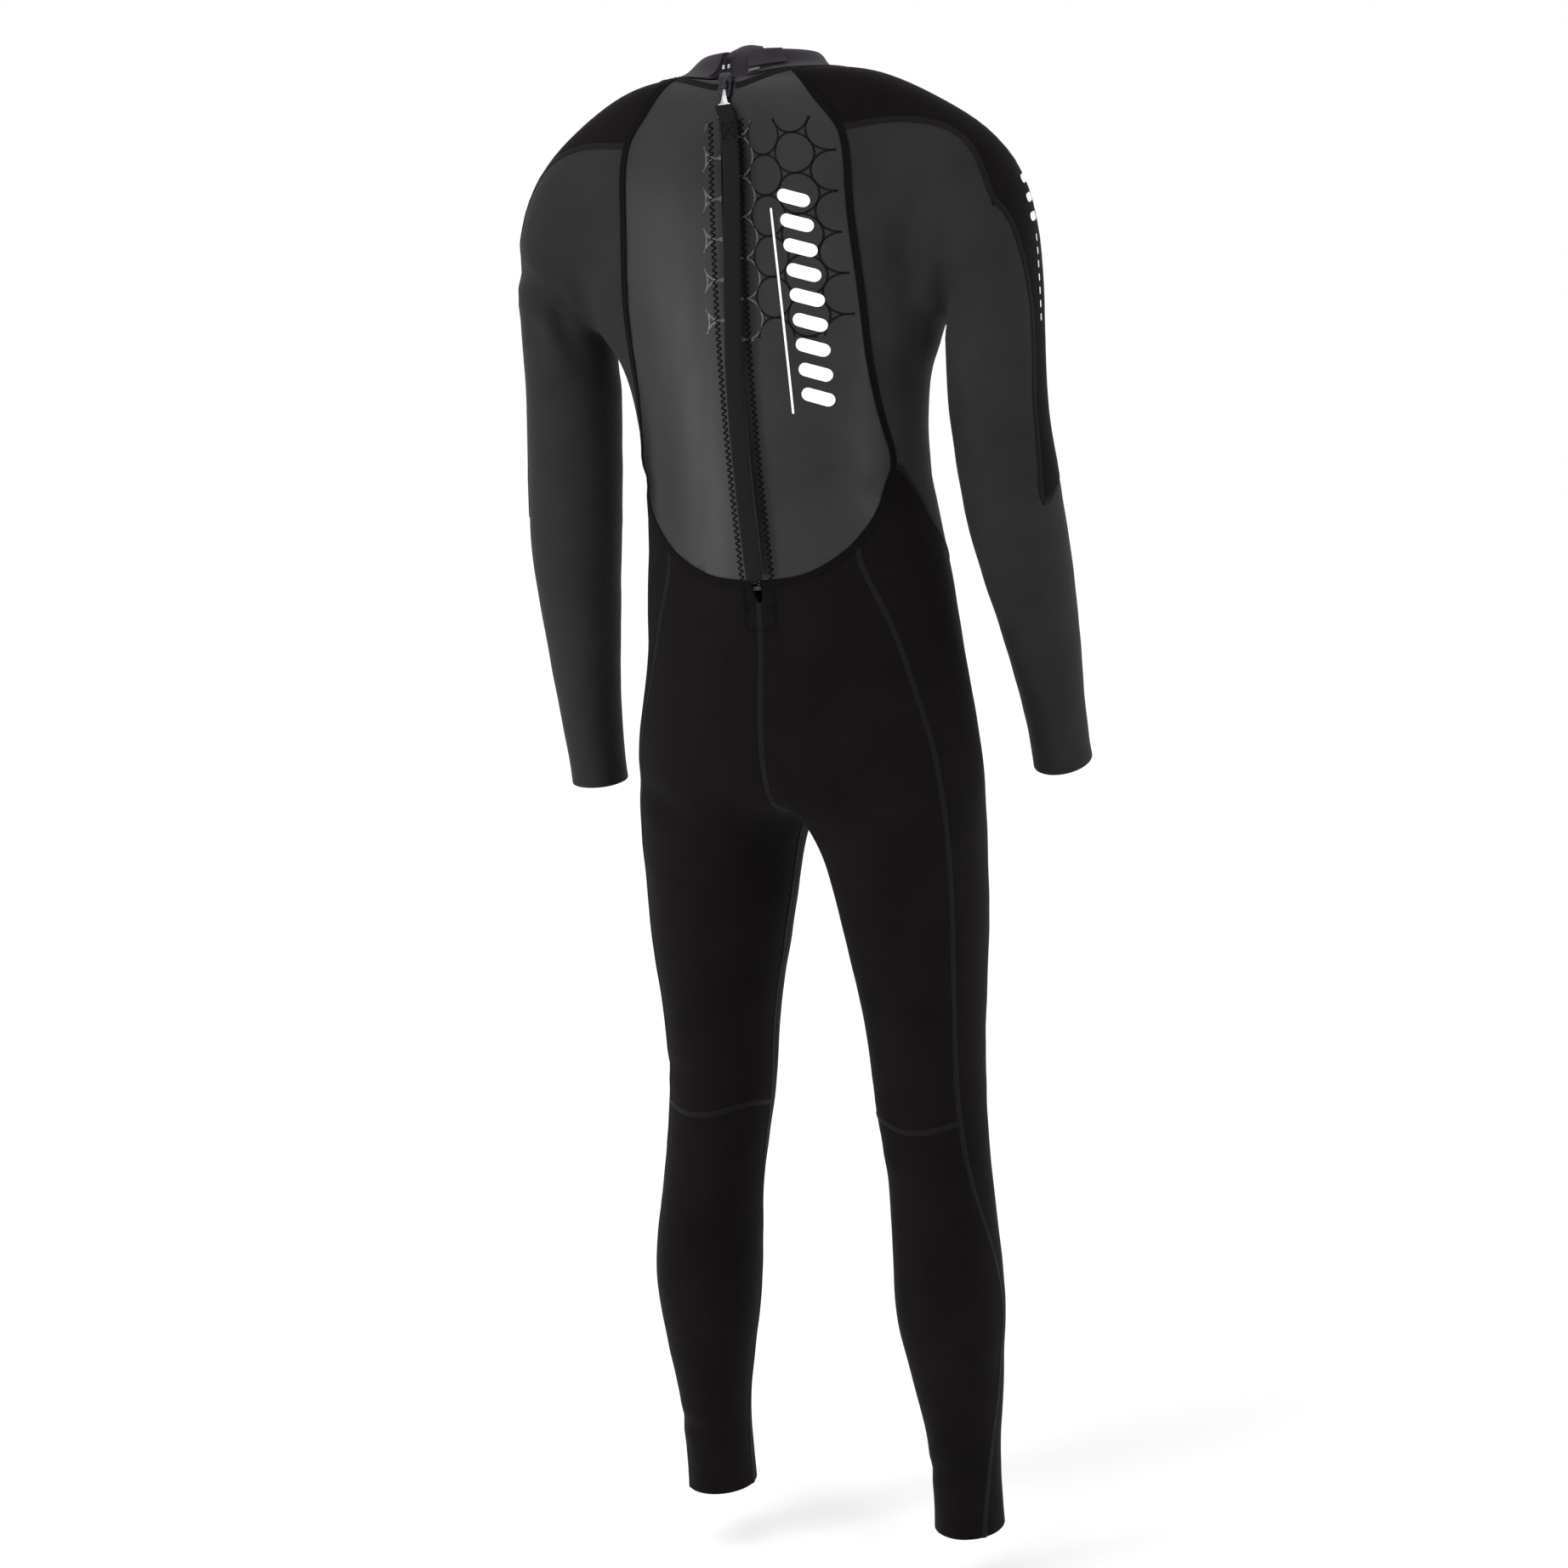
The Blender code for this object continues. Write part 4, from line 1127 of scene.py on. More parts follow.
MATERIALS = {
    "black": knit("black_knit", (0.0019, 0.0013, 0.0016), (0.0054, 0.0040, 0.0047), 0.015, 0.045),
    "charcoal": knit("charcoal_knit", (0.0085, 0.0086, 0.0085), (0.0165, 0.0166, 0.0165), 0.03,
                     0.12),
    "collar": knit("collar_knit", (0.0090, 0.0068, 0.0092), (0.0210, 0.0170, 0.0220), 0.06, 0.15),
    "rubber": smooth_skin("smooth_skin", (0.0075, 0.0072, 0.0068), (0.0150, 0.0148, 0.0144)),
    "webbing": woven("webbing", (0.0010, 0.0010, 0.0010), (0.0075, 0.0075, 0.0072), 0.6, 0.08),
    "tape": woven("binding_tape", (0.0010, 0.0008, 0.0010), (0.0032, 0.0027, 0.0031), 0.7, 0.05),
    "nylon": moulded("nylon", (0.0025, 0.0025, 0.0025), (0.0080, 0.0080, 0.0080), 0.38),
    "steel": cast_metal("zip_metal", (0.30, 0.30, 0.34), (0.54, 0.54, 0.58)),
    # the zip metal made darker, for the slider body and the bottom stop
    "dark_metal": cast_metal("slider_metal", (0.014, 0.014, 0.016), (0.045, 0.045, 0.050)),
    "thread": woven("thread", (0.0012, 0.0012, 0.0014), (0.0030, 0.0030, 0.0034), 0.6, 0.05),
    "flatlock": flatlock("flatlock_thread", (0.0016, 0.0012, 0.0014), (0.0065, 0.0054, 0.0058)),
    "pile": knit("hook_pile", (0.030, 0.029, 0.028), (0.075, 0.073, 0.070), 0.1, 0.2),
    "white": printed("white_print", (0.62, 0.62, 0.64), (0.86, 0.86, 0.87), 0.5, 0.4),
    "ink": printed("dark_print", (0.0020, 0.0020, 0.0020), (0.0045, 0.0045, 0.0045), 0.35, 0.05),
    # a pale copy of the dark ink: painted highlight where the glossy rings by the zip catch the
    # light
    "painted_glint_ink": printed("painted_glint_print", (0.045, 0.045, 0.046), (0.085, 0.085, 0.086), 0.3, 0.4),
}
# kind of panel: its material, its slot and the CAD nodes that it replaces, less their side
PANELS = {
    "back": ("rubber", "smooth_rubber", ("back_panel_",)),
    "chest": ("rubber", "smooth_rubber", ("chest_panel",)),
    "side": ("charcoal", "charcoal_neoprene", ("side_sleeve_",)),
    "sleeve": ("charcoal", "charcoal_neoprene", ("elbow_", "forearm_")),
    "yoke": ("black", "black_neoprene", ("shoulder_yoke_",)),
    "leg": ("black", "black_neoprene", ("front_leg_", "knee_pad_", "shin_")),
    "seat": ("black", "black_neoprene", ("seat_",)),
    "calf": ("black", "black_neoprene", ("knee_hollow_", "calf_")),
}


# ---------------- placing pieces
def forearm_direction(side):
    bend = math.radians(ELBOW_REST[side])
    return Vector((0, -math.sin(bend), -math.cos(bend)))


def bend_with_arm(piece, side):
    sign = dict(SIDES)[side]
    elbow = Vector((sign * ELBOW[0] - ARM_SHIFT, ELBOW[1], up(ELBOW[2])))
    elbow + forearm_direction(side) * ELBOW_ZONE
    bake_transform(piece)


def bend_with_leg(piece, side):
    sign = dict(SIDES)[side]
    knee = Vector((sign * KNEE[0] + middle_x(KNEE[2]), KNEE[1] - foot_forward(side, KNEE[2]),
                   up(KNEE[2])))
    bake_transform(piece)


def move(piece, kind, side):
    """Bakes a limb piece's placement into its mesh, or fixes a trunk piece to the suit."""
    if kind in ("arm", "sleeve", "yoke"):
        bend_with_arm(piece, side)
    elif kind in ("leg", "seat", "calf"):
        bend_with_leg(piece, side)
    else:
        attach(piece, "suit")


# ---------------- the suit's panels
def build_panels(panels, owner):
    for name in sorted(panels):
        kind, _, rest = name.partition("_")
        side = rest.rpartition("_")[2]
        look, slot, nodes = PANELS[kind]
        piece = panel_piece("panel_" + name, panels[name], owner, MATERIALS[look])
        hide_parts(*(node + side for node in nodes))
        move(piece, kind, side)


def both_sides(half):
    """A whole profile from (across, lift) points between its middle and its edge."""
    return [(-across, lift) for across, lift in half[:0:-1]] + list(half)


SEAM_PROFILE = both_sides(((0.0, 0.0006), (0.0016, 0.0008), (0.0026, 0.0005), (0.0032, -0.0002)))
BINDING_PROFILE = both_sides(((0.0, 0.0014), (0.0020, 0.0009), (0.0029, 0.0015),
                              (0.0035, 0.0010), (0.0037, -0.0003)))
NECK_PROFILE = both_sides(((0.0, 0.0003), (0.0010, 0.0005), (0.0020, 0.0012),
                           (0.0028, 0.0008), (0.0033, -0.0002)))


def seam_family(names):
    """Which piece of stitching a seam belongs to: (family, side)."""
    kinds = {n.partition("_")[0] for n in names}
    sides = {n.rpartition("_")[2] for n in names}
    if kinds & {"hem", "opening"}:
        return None
    if "back" in kinds:
        return ("binding", None) if len(kinds) == 2 else None
    if kinds == {"yoke", "side"} and len(sides) == 1:
        return ("arm", sides.pop())
    if kinds <= {"leg", "seat", "calf"} and len(sides) == 1:
        return ("leg", sides.pop())
    return ("body", None)


def build_seams(bm, owner, tree):
    families = {}
    for names, edges in seam_edges(bm, owner).items():
        family = seam_family(names)
        if family:
            families.setdefault(family, []).extend(edges)
    for (family, side), edges in sorted(families.items(), key=str):
        runs = [laid([v.co for v in run], tree) for run in chains(edges) if len(run) > 3]
        if family == "binding":
            piece = ribbon("back_bindings", runs, BINDING_PROFILE, MATERIALS["tape"])
            settle(piece, "webbing", "suit", "back_binding_left", "back_binding_right")
            continue
        name = f"{family}_seams_{side}" if side else f"{family}_seams"
        piece = ribbon(name, runs, SEAM_PROFILE, MATERIALS["flatlock"])
        move(piece, family, side)

# ---------------- zip
TAPE_TAIL, TAPE_STEPS = 0.004, 90  # the tapes run this far past the chain
PROBE = 0.06                       # the skin is looked for from this far under the zip arc
TOOTH_PITCH = 0.0026
TOOTH_LENGTH = 0.0019
TEETH_START = 0.007                # the first tooth above the chain's lower end
# distance from the middle, share of a tooth's length, share of its thickness
TOOTH_RINGS = ((0.0004, 0.55, 0.80), (0.0010, 0.95, 0.95), (0.0018, 0.70, 1.0),
               (0.0030, 1.0, 1.0), (0.0040, 0.85, 0.8))


def surface_lift(tree, height, aside):
    """How far the skin stands outside the zip arc."""
    start = zip_place(height, aside, -PROBE)
    way = (zip_place(height, aside, 0.0) - start).normalized()
    hit = tree.ray_cast(start, way)
    return (hit[0] - start).length - PROBE


def plate(outline, low, high, top):
    """A plate on the zip arc: its outline is (distance below top, aside) points."""
    return [[zip_place(top - down, aside, lift) for down, aside in outline]
            for lift in (low, high)]


def mirrored(half):
    """A closed outline from (distance, half width) points."""
    return [(down, wide) for down, wide in half] + [(down, -wide) for down, wide in reversed(half)]


def build_tapes(tree):
    for side, sign in SIDES:
        rings = []
        for height in spread(ZIP_BOTTOM - TAPE_TAIL, TAPE_TOP, TAPE_STEPS):
            inner, outer = (surface_lift(tree, height, sign * a) - SHEET - TAPE_GAP
                            for a in (ZIP_SLOT + 0.001, TAPE[1]))
            rings.append([zip_place(height, sign * aside, lift) for aside, lift in (
                (TAPE[0], inner - TAPE_THICKNESS), (TAPE[1], outer - TAPE_THICKNESS),
                (TAPE[1], outer), (TAPE[0], inner))])
        tape = loft("tape_" + side, [rings], MATERIALS["tape"])
        settle(tape, "nylon", "suit", "zip_tape_" + side)


def build_teeth():
    """Moulded teeth, set alternately on the two sides, each with a rounded head."""
    for number, (side, sign) in enumerate(SIDES):
        blocks = []
        count = int((ZIP_TOP - ZIP_BOTTOM - 0.006) / TOOTH_PITCH)
        for i in range(count):
            middle = ZIP_BOTTOM + TEETH_START + (i + number / 2) * TOOTH_PITCH
            if middle + TOOTH_LENGTH / 2 > ZIP_TOP:
                continue
            rings = []
            for aside, share, thick in TOOTH_RINGS:
                half = TOOTH_LENGTH / 2 * share
                tall = TEETH_HALF_THICK * thick
                rings.append([zip_place(middle + h, sign * aside, lift) for h, lift in (
                    (-half, -tall), (half, -tall), (half, tall * 0.5), (half * 0.5, tall),
                    (-half * 0.5, tall), (-half, tall * 0.5))])
            blocks.append(rings)
        teeth = loft("teeth_" + side, blocks, MATERIALS["nylon"])
        settle(teeth, "nylon", "suit", "zip_chain_" + side)


# the slider's plates and the tab's stem: distance below the slider's top, half width
SLIDER_OUTLINE = ((0.0, 0.0040), (0.0010, 0.0058), (0.0030, 0.0069), (0.0080, 0.0069),
                  (0.0150, 0.0060), (0.0210, 0.0054), (0.0230, 0.0046), (0.0238, 0.0032))
NOSE_OUTLINE = ((0.0006, 0.0006), (0.0016, 0.0010), (0.0045, 0.0004))
STEM_OUTLINE = ((0.0114, 0.0010), (0.0122, 0.0014), (0.0170, 0.0014), (0.0230, 0.0022),
                (0.0290, 0.0040), (0.0318, 0.0062))
# the lug's section: distance from the middle, lift
LUG_SECTION = ((-0.0036, 0.0034), (-0.0036, 0.0064), (-0.0027, 0.0077), (0.0, 0.0082),
               (0.0027, 0.0077), (0.0036, 0.0064), (0.0036, 0.0034), (0.0018, 0.0034),
               (0.0018, 0.0067), (0.0010, 0.0072), (0.0, 0.0073), (-0.0010, 0.0072),
               (-0.0018, 0.0067), (-0.0018, 0.0034))
LUG_ENDS = (0.0082, 0.0158)        # below the slider's top
TOP_PLATE = (0.0024, 0.0040)       # lift of its underside and its top
LOWER_PLATE = (-0.0085, -0.0070)
NOSE = (-0.0072, 0.0026)
STEM = (0.0048, 0.0056)
FRAME = (0.0045, 0.0059)
FRAME_MIDDLE = 0.0370              # middle of the tab's frame below the slider's top
FRAME_HALF = (0.0070, 0.0070)      # half length and half width outside
FRAME_HOLE = (0.0042, 0.0050)      # and of its hole
FRAME_CORNERS = (0.0022, 0.0012)   # their corner radii
METAL_ROUND = 0.0003               # rounding of the tab's edges


def round_rect(half_length, half_width, radius, per_corner=5):
    """Closed outline of a rounded rectangle as (distance, aside) points."""
    outline = []
    for corner, (sx, sy) in enumerate(((1, 1), (-1, 1), (-1, -1), (1, -1))):
        for k in range(per_corner):
            turn = math.pi / 2 * (corner + k / (per_corner - 1))
            outline.append((sx * (half_length - radius) + radius * math.cos(turn),
                            sy * (half_width - radius) + radius * math.sin(turn)))
    return outline


def frame_rings(top):
    """The tab's open frame: a rounded plate with a rounded hole, as rings round its bar."""
    outside, inside = (round_rect(*half, radius) for half, radius in
                       zip((FRAME_HALF, FRAME_HOLE), FRAME_CORNERS))
    low, high = FRAME
    rings = []
    for outer, inner in zip(outside, inside):
        rings.append([zip_place(top - FRAME_MIDDLE - down, aside, lift) for (down, aside), lift in (
            (outer, low), (outer, high), (inner, high), (inner, low))])
    return rings


def build_slider():
    top = ZIP_TOP - SLIDER_TOP
    outline = mirrored(SLIDER_OUTLINE)
    lug = [[zip_place(top - down, aside, lift) for aside, lift in LUG_SECTION]
           for down in LUG_ENDS]
    body = loft("slider_body", [plate(outline, *TOP_PLATE, top), plate(outline, *LOWER_PLATE, top),
                                lug, plate(mirrored(NOSE_OUTLINE), *NOSE, top)],
                MATERIALS["dark_metal"])
    settle(rounded(body, 0.00035, 3), "steel", "slider", "zip_slider")
    stem = loft("tab_stem", [plate(mirrored(STEM_OUTLINE), *STEM, top)], MATERIALS["steel"])
    hoop = closed_loop("tab_frame", frame_rings(top), MATERIALS["steel"])
    for piece in (stem, hoop):
        settle(rounded(piece, METAL_ROUND), "steel", "pull", "zip_pull_tab")


RIB_PITCH = 0.0028
RIBS = ((0.40, 0.985), (0.82, 0.995), (1.0, 1.0), (0.82, 0.995))   # shares of thickness, width
# the strap's section, as shares of its half width and half thickness
STRAP_SECTION = ((-1.0, 0.0), (-0.97, 0.55), (-0.90, 0.85), (-0.6, 1.0), (0.0, 1.0), (0.6, 1.0),
                 (0.90, 0.85), (0.97, 0.55), (1.0, 0.0), (0.97, -0.55), (0.90, -0.85),
                 (0.0, -1.0), (-0.90, -0.85), (-0.97, -0.55))
# the sewn loop through the tab's frame: distance below the slider's top, lift
LOOP_PATH = ((0.0560, 0.0074), (0.0500, 0.0062), (0.0462, 0.0050), (0.0440, 0.0038),
             (0.0420, 0.0034), (0.0400, 0.0036), (0.0386, 0.0046), (0.0384, 0.0062),
             (0.0396, 0.0076), (0.0420, 0.0082), (0.0450, 0.0082))
TACK = (0.0500, 0.0660, 0.0065)    # the boxed cross that holds it: its ends and half width
TACK_THREAD = 0.00035              # radius
LOOP_SHARE = 0.75                  # the loop's thickness as a share of the strap's
STRAP_START = ZIP_TOP - SLIDER_TOP - TAB_LENGTH + STRAP_LAP


def strap_middle(height):
    """(aside, lift) of the strap's middle at a height."""
    low, rise = STRAP_DIP
    share = ease((STRAP_START - height) / rise)
    return curve(STRAP_LINE, height), low + (STRAP_LIFT - low) * share


def strap_loop(top):
    """The end of the webbing, folded round the tab's frame."""
    half = STRAP_THICKNESS / 2 * LOOP_SHARE
    wide = FRAME_HOLE[1] - 0.0003
    rings = []
    for i, (down, lift) in enumerate(LOOP_PATH):
        a = LOOP_PATH[max(i - 1, 0)]
        b = LOOP_PATH[min(i + 1, len(LOOP_PATH) - 1)]
        run = Vector((b[0] - a[0], b[1] - a[1])).normalized()
        out = Vector((-run.y, run.x)) * half
        rings.append([zip_place(top - down - s * out.x, w, lift + s * out.y)
                      for s, w in ((-1, -wide), (-1, wide), (1, wide), (1, -wide))])
    return rounded(loft("strap_loop", [rings], MATERIALS["webbing"]), METAL_ROUND, 2, 50)


def strap_tack(top):
    """The stitched box and cross that close the loop."""
    near, far, wide = TACK
    corners = ((near, -wide), (near, wide), (far, wide), (far, -wide))
    lines = [(corners[i], corners[(i + 1) % 4]) for i in range(4)]
    lines += [(corners[0], corners[2]), (corners[1], corners[3])]
    runs = []
    for a, b in lines:
        run = []
        for share in spread(0.0, 1.0, 12):
            height = top - (a[0] + (b[0] - a[0]) * share)
            aside, lift = strap_middle(height)
            run.append(zip_place(height, aside + a[1] + (b[1] - a[1]) * share,
                                 lift + STRAP_THICKNESS / 2))
        runs.append(run)
    return tube("strap_stitching", runs, TACK_THREAD, MATERIALS["thread"])


def build_strap():
    """Ribbed webbing: one closed strip whose ribs are part of its shape."""
    count = int((STRAP_START - STRAP_END) / RIB_PITCH * len(RIBS))
    rings = []
    for i, height in enumerate(spread(STRAP_END, STRAP_START, count)):
        aside, lift = strap_middle(height)
        rib, edge = RIBS[i % len(RIBS)]
        rings.append([zip_place(height, aside + a * STRAP_WIDTH / 2 * edge,
                                lift + b * STRAP_THICKNESS / 2 * rib) for a, b in STRAP_SECTION])
    strap = loft("webbing_strap", [rings], MATERIALS["webbing"])
    settle(strap, "webbing", "pull", "pull_strap")
    top = ZIP_TOP - SLIDER_TOP
    loop = strap_loop(top)
    settle(loop, "webbing", "pull")
    tack = strap_tack(top)
    settle(tack, "nylon", "pull")
    path = [zip_place(h, *strap_middle(h)) for h in reversed(spread(STRAP_END, STRAP_START, 32))]
    length = sum((b - a).length for a, b in zip(path, path[1:]))
    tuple(path[0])


ZIGZAG_HALF = 0.0030
ZIGZAG_PITCH = 0.0060
# share of one stitch's run, lift: each thread dips into the cloth at both ends
ZIGZAG_LIFTS = ((0.08, -0.0002), (0.30, 0.0003), (0.70, 0.0003), (0.92, -0.0002))
THREAD_RADIUS = 0.00075
# the rows of zigzag beside and under the zip, as (height, aside) ends, less their side
ZIGZAG_ROWS = (((1.496, 0.0160), (1.006, 0.0160)), ((1.030, 0.0165), (1.030, 0.0075)))
ZIGZAG_FOOT = ((1.009, -0.0165), (1.009, 0.0165))


def zigzag(tree, start, end):
    """A zigzag stitch between two (height, aside) places."""
    (h0, a0), (h1, a1) = start, end
    length = math.hypot(h1 - h0, a1 - a0)
    count = int(length / (ZIGZAG_PITCH / 2))
    across = ((a1 - a0) / length, -(h1 - h0) / length)
    run = []
    for i in range(count):
        swing = ZIGZAG_HALF * (-1 if i % 2 else 1)
        for share, lift in ZIGZAG_LIFTS:
            out = swing * (2 * share - 1)
            t = (i + share) / (count + 1)
            height = h0 + (h1 - h0) * t + across[0] * out
            aside = a0 + (a1 - a0) * t + across[1] * out
            run.append(zip_place(height, aside, surface_lift(tree, height, aside) + lift))
    return run


def build_zip_stitching(tree):
    runs = []
    for sign in (-1, 1):
        for (h0, a0), (h1, a1) in ZIGZAG_ROWS:
            runs.append(zigzag(tree, (h0, sign * a0), (h1, sign * a1)))
    runs.append(zigzag(tree, *ZIGZAG_FOOT))
    settle(tube("zip_stitching", runs, THREAD_RADIUS, MATERIALS["thread"]), "nylon", "suit")


# ---------------- prints
PRINT_LIFT = 0.00045               # white print above the skin
INK_LIFT = 0.00035                 # dark print above the skin
BARS, BAR_STEP, BAR_DRIFT = 9, 0.0235, 0.0012   # the back's bars: count, fall and sideways step
BAR_FIRST = (-0.0800, 1.418)       # middle of the first: aside, height
BAR_REACH = (0.0155, 0.0050)       # half run of each: aside, height
BAR_WIDTH = 0.0125
RULE = ((-0.0560, 1.410), (-0.0640, 1.215), 0.0022)   # ends and width
ARM_PRINT_TURN = 84                # degrees round the right arm
# the arm's marks: heights, half run round the arm and down, width, steps
ARM_MARKS = (((1.428, 1.410, 1.392), (-0.009, -0.002), 0.013 * 0.62, 14),
             ([1.372 - i * 0.0125 for i in range(7)], (0, 0.0035), 0.0024, 8))
CIRCLE_PITCH = 0.0385
CIRCLE_LINE = 0.0018
CIRCLE_STEPS = 48
CIRCLE_COLUMNS, CIRCLE_ROWS = range(-5, 3), range(-1, 8)
CIRCLE_SHIFT = 0.45                # how far column 0 stands from the zip, in columns
CIRCLE_TOP = 1.480                 # height of the upper full row's centres
CIRCLE_BAND = (1.285, 1.495)       # heights that the circles are printed between
CIRCLE_PAST_ZIP = 0.034            # how far they run on to the wearer's left of the zip
CIRCLE_INSET = 0.006               # and how far they stop short of the panel's edge
PAINTED_GLINT_FROM = -1                     # circles from this column on are printed pale: a painted highlight, the glint of the glossy ink by the zip


def torso_place(tree, height, aside, lift=PRINT_LIFT):
    """A point on the back at a distance round from the zip."""
    turn = -aside / TORSO_RADIUS
    start = Vector((middle_x(height), TORSO_AXIS_Y, up(height)))
    place, normal, _, _ = tree.ray_cast(start, Vector((-math.sin(turn), math.cos(turn), 0)))
    return place + normal * lift


def arm_place(tree, height, around):
    """A point on the outside of the right arm at a distance round it."""
    turn = math.radians(ARM_PRINT_TURN) + around / ARM_RADIUS
    start = Vector((-curve(ARM_AXIS, height) - ARM_SHIFT, ARM_AXIS_Y, up(height)))
    place, normal, _, _ = tree.ray_cast(start, Vector((-math.sin(turn), math.cos(turn), 0)))
    return place + normal * PRINT_LIFT


def bar(place, start, end, width, steps=14):
    """A printed bar with round ends between two places; place(u, v) puts it on the skin."""
    (u0, v0), (u1, v1) = start, end
    length = math.hypot(u1 - u0, v1 - v0)
    du, dv = (u1 - u0) / length, (v1 - v0) / length
    half = width / 2
    rows = []
    for i in range(steps + 1):
        along = length * (1 - math.cos(math.pi * i / steps)) / 2
        inset = max(half - along, half - (length - along), 0.0)
        wide = math.sqrt(max(half * half - inset * inset, 0.0)) + 0.00005
        rows.append([place(u0 + du * along - dv * side * wide, v0 + dv * along + du * side * wide)
                     for side in (-1, -0.5, 0, 0.5, 1)])
    return rows


def build_back_print(tree):
    """A plain column of slanted bars beside one thin rule."""
    def place(aside, height):
        return torso_place(tree, height, aside)
    grids = [bar(place, *RULE, 60)]
    reach, drop = BAR_REACH
    for i in range(BARS):
        aside = BAR_FIRST[0] - i * BAR_DRIFT
        height = BAR_FIRST[1] - i * BAR_STEP
        grids.append(bar(place, (aside + reach, height + drop), (aside - reach, height - drop),
                         BAR_WIDTH))
    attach(patches("back_print", grids, MATERIALS["white"]), "suit")


def build_shoulder_print(tree):
    """Plain white dashes down the outside of the right shoulder."""
    def place(around, height):
        return arm_place(tree, height, around)
    grids = []
    for heights, (around, rise), width, steps in ARM_MARKS:
        for height in heights:
            ends = (around, height + rise), (-around, height - rise)
            grids.append(bar(place, *ends, width, steps))
    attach(patches("shoulder_print", grids, MATERIALS["white"]), "suit")


def circle_area(aside, height):
    """Where the circles are printed: the upper right panel, and a little past the zip."""
    edge = math.radians(curve(BACK_PANEL_EDGE, height)) * TORSO_RADIUS
    if not CIRCLE_BAND[0] < height < CIRCLE_BAND[1] or abs(aside) < ZIP_SLOT + 0.001:
        return False
    return aside < CIRCLE_PAST_ZIP if aside > 0 else -aside < edge - CIRCLE_INSET


def circle_arcs(tree, middle, top):
    """The printed parts of one circle's line, as grids of points on the skin."""
    arcs = [[]]
    for k in range(CIRCLE_STEPS + 1):
        turn = 2 * math.pi * k / CIRCLE_STEPS
        row = []
        for radius in (CIRCLE_PITCH / 2 - CIRCLE_LINE / 2, CIRCLE_PITCH / 2,
                       CIRCLE_PITCH / 2 + CIRCLE_LINE / 2):
            row.append((middle + radius * math.cos(turn), top + radius * math.sin(turn)))
        if all(circle_area(aside, height) for aside, height in row):
            arcs[-1].append([torso_place(tree, height, aside, INK_LIFT) for aside, height in row])
        else:
            arcs.append([])
    return [rows for rows in arcs if len(rows) > 1]


def build_circle_print(tree):
    """Packed circles on the upper back in dark gloss ink; those by the zip are printed pale, a
    painted highlight of that ink.
    """
    column = CIRCLE_PITCH * math.sqrt(3) / 2
    grids = {"ink": [], "painted_glint_ink": []}
    for i in CIRCLE_COLUMNS:
        inked = grids["ink" if i < PAINTED_GLINT_FROM else "painted_glint_ink"]
        for j in CIRCLE_ROWS:
            height = CIRCLE_TOP - (j + (0.5 if i % 2 else 0.0)) * CIRCLE_PITCH
            inked += circle_arcs(tree, (i + CIRCLE_SHIFT) * column, height)
    for look, arcs in grids.items():
        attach(patches("circles_" + look, arcs, MATERIALS[look]), "suit")


# ---------------- collar
ABOVE_ALL = 0.2                    # rays down to the shoulders start at this height
COLLAR_START = COLLAR_OPEN / NECK_HALF[0]
# piece: node, slot, body, material, (first turn, last turn, steps), (low, high, steps) as shares
# of the collar's rise, how far outward it lies, thickness
COLLAR_SHEETS = {
    "neck_collar": ("collar", "black_neoprene", "suit", "collar",
                    (COLLAR_START, 2 * math.pi - COLLAR_START, 110), (0.0, 1.0, 12), 0.0, SHEET),
    "neck_flap_sheet": ("neck_flap", "black_neoprene", "suit", "collar",
                        (-0.46, 0.46, 24), (0.12, 1.42, 14), -0.0085, 0.002),
    "hook_patch": ("closure_patch", "grey_hook_pile", "suit", "pile",
                   (COLLAR_START + 0.03, COLLAR_START + 0.16, 8), (0.06, 0.24, 6), 0.0038, 0.0012),
    "collar_tab": ("closure_tab", "black_neoprene", "closure", "collar",
                   (COLLAR_START + 0.02, COLLAR_START + 0.52, 20), (0.30, 0.92, 10),
                   0.0052, 0.0022),
}
NECK_SEAM_OUT = 0.0033             # the neck's double seam lies this far outside the collar's foot
# stitches at the collar's two ends: first and last turn of each
COLLAR_STITCHES = ((2 * math.pi - COLLAR_START - 0.012, 2 * math.pi - COLLAR_START - 0.075),
                   (COLLAR_START + 0.012, COLLAR_START + 0.017))


def neck_point(half, turn):
    """(x, y) on an ellipse round the neck seam's middle."""
    return -half[0] * math.sin(turn), NECK_Y + half[1] * math.cos(turn)


def shoulder_below(tree, x, y):
    return tree.ray_cast(Vector((x, y, ABOVE_ALL)), Vector((0, 0, -1)))[0]


def collar_place(tree, turn, level, outward):
    """A point on the collar's cone at a share of its rise, moved outward."""
    x0, y0 = neck_point([h - COLLAR_INSET for h in NECK_HALF], turn)
    x1, y1 = -RIM_HALF[0] * math.sin(turn), RIM_Y + RIM_HALF[1] * math.cos(turn)
    z0 = shoulder_below(tree, x0, y0).z + COLLAR_GAP
    away = Vector((-math.sin(turn), math.cos(turn), COLLAR_LEAN)).normalized()
    hollow = COLLAR_HOLLOW * math.sin(math.pi * level) * (1 - level)
    point = Vector((x0 + (x1 - x0) * level, y0 + (y1 - y0) * level, z0 + (RIM_RISE - z0) * level))
    return point + away * (outward - hollow)


def build_collar(tree):
    for name, (node, slot, body, look, turns, levels, out, sheet) in COLLAR_SHEETS.items():
        levels = spread(*levels)
        rings = []
        for turn in spread(*turns):
            rings.append([collar_place(tree, turn, level, out) for level in levels]
                         + [collar_place(tree, turn, level, out - sheet) for level in levels[::-1]])
        made = loft(name, [rings], MATERIALS[look])
        settle(rounded(made, min(0.0009, sheet * 0.4), 3, 50), slot, body, node)
    build_collar_seams(tree)


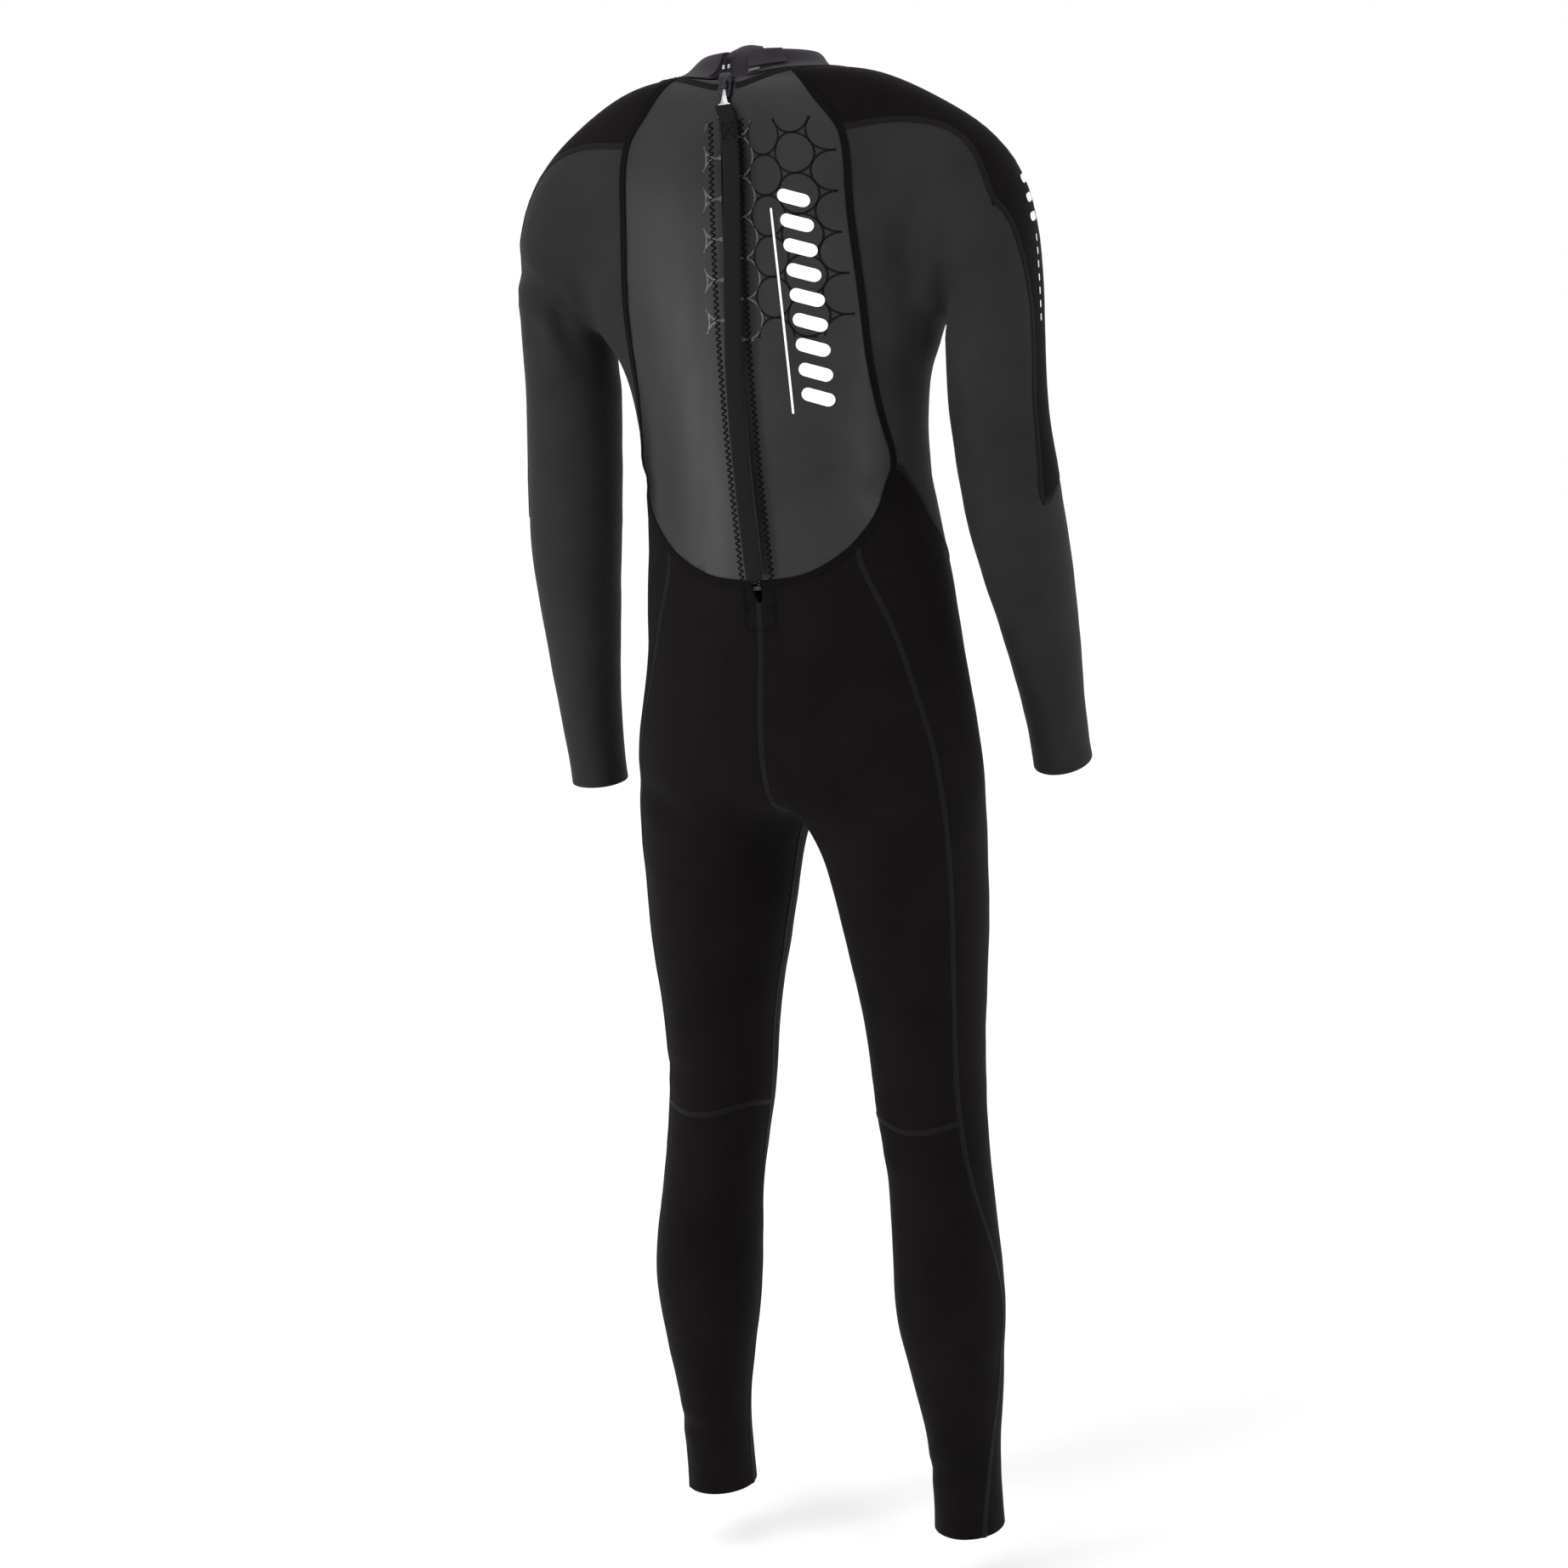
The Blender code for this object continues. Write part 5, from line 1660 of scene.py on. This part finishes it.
def build_collar_seams(tree):
    """The double seam round the neck and the short stitches at the collar's ends."""
    half = [h + NECK_SEAM_OUT for h in NECK_HALF]
    points = [shoulder_below(tree, *neck_point(half, turn))
              for turn in spread(COLLAR_START * 0.5, 2 * math.pi - COLLAR_START * 0.5, 150)]
    seam = ribbon("neck_seam", [laid(points, tree)], NECK_PROFILE, MATERIALS["flatlock"])
    runs = []
    for level in spread(0.08, 0.92, 14):
        for first, last in COLLAR_STITCHES:
            runs.append([collar_place(tree, turn, level, 0.0002)
                         for turn in spread(first, last, 4)])
    ends = tube("collar_stitching", runs, THREAD_RADIUS, MATERIALS["thread"])
    for piece in (seam, ends):
        settle(piece, "nylon", "suit")


# ---------------- carried-over CAD nodes
def dress_cad_nodes():
    for name, look, width in (("zip_top_stop_left", "steel", 0.0004),
                              ("zip_top_stop_right", "steel", 0.0004),
                              ("zip_bottom_stop", "dark_metal", 0.0004),
                              ("zip_backing_flap", "black", 0.0006)):
        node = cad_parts[name]
        node.data.materials.clear()
        node.data.materials.append(MATERIALS[look])
        add_bevel(node, width, 2, "ANGLE")


# ---------------- camera, lights and floor
def build_camera():
    turn = math.radians(CAMERA_TURN + CAMERA_PAN)
    tilt = math.radians(CAMERA_TILT)
    roll = math.radians(CAMERA_ROLL)
    ahead = Vector((math.sin(turn), -math.cos(turn), 0))
    forward = ahead * math.cos(tilt) + Vector((0, 0, math.sin(tilt)))
    right = Vector((-math.cos(turn), -math.sin(turn), 0))
    over = right.cross(forward)
    side = right * math.cos(roll) + over * math.sin(roll)
    top = over * math.cos(roll) - right * math.sin(roll)
    azimuth = math.radians(CAMERA_TURN)
    place = Vector((middle_x(SHIFT_FROM) - CAMERA_DISTANCE * math.sin(azimuth),
                    CAMERA_DISTANCE * math.cos(azimuth), up(CAMERA_HEIGHT)))
    camera = bpy.data.objects.new("camera", bpy.data.cameras.new("camera"))
    camera.data.lens = CAMERA_LENS
    camera.data.sensor_width = SENSOR
    camera.data.clip_start = 0.05
    camera.matrix_world = Matrix((side, top, -forward)).transposed().to_4x4()
    camera.location = place
    bpy.context.collection.objects.link(camera)
    bpy.context.scene.camera = camera


def softbox(name, place, aim, size, power):
    """A rectangular light at a place, turned to what it lights."""
    light = bpy.data.lights.new(name, "AREA")
    light.shape = "RECTANGLE"
    light.size, light.size_y = size
    light.energy = power
    made = bpy.data.objects.new(name, light)
    made.location = place
    made.rotation_euler = (Vector(aim) - Vector(place)).to_track_quat("-Z", "Y").to_euler()
    bpy.context.collection.objects.link(made)


def build_studio():
    world = bpy.data.worlds.new("studio")
    world.use_nodes = True
    sky = world.node_tree.nodes["Background"]
    sky.inputs["Color"].default_value = (1.0, 1.0, 1.0, 1)
    sky.inputs["Strength"].default_value = 1.0
    bpy.context.scene.world = world
    bpy.context.scene.view_settings.view_transform = "Standard"
    for light in SOFTBOXES:
        softbox(*light)
    sun = bpy.data.lights.new("soft_sun", "SUN")
    sun.energy, sun.angle = SUN_STRENGTH, math.radians(SUN_SOFTNESS)
    above = bpy.data.objects.new("soft_sun", sun)
    above.rotation_euler = [math.radians(turn) for turn in SUN_TURN]
    bpy.context.collection.objects.link(above)
    mesh = bpy.data.meshes.new("floor")
    corners = [(x * FLOOR_REACH, y * FLOOR_REACH, up(0.0))
               for x, y in ((-1, -1), (1, -1), (1, 1), (-1, 1))]
    mesh.from_pydata(corners, [], [(0, 1, 2, 3)])
    paint = Nodes("floor_paint", (0.90, 0.90, 0.90), 0.8)
    paint.link(paint.span(paint.noise(3, 2.0), 0.75, 0.85), paint.shader.inputs["Roughness"])
    link("floor", mesh, paint.material)


def main():
    build_camera()
    bm, panels = cut_skin()
    owner = {f: name for name, faces in panels.items() for f in faces}
    skin = BVHTree.FromBMesh(skin_mesh())
    build_strap()
    build_panels(panels, owner)
    build_seams(bm, owner, skin)
    build_tapes(skin)
    build_teeth()
    build_slider()
    build_zip_stitching(skin)
    build_back_print(skin)
    build_shoulder_print(skin)
    build_circle_print(skin)
    build_collar(skin)
    dress_cad_nodes()
    build_studio()
    bm.free()


main()
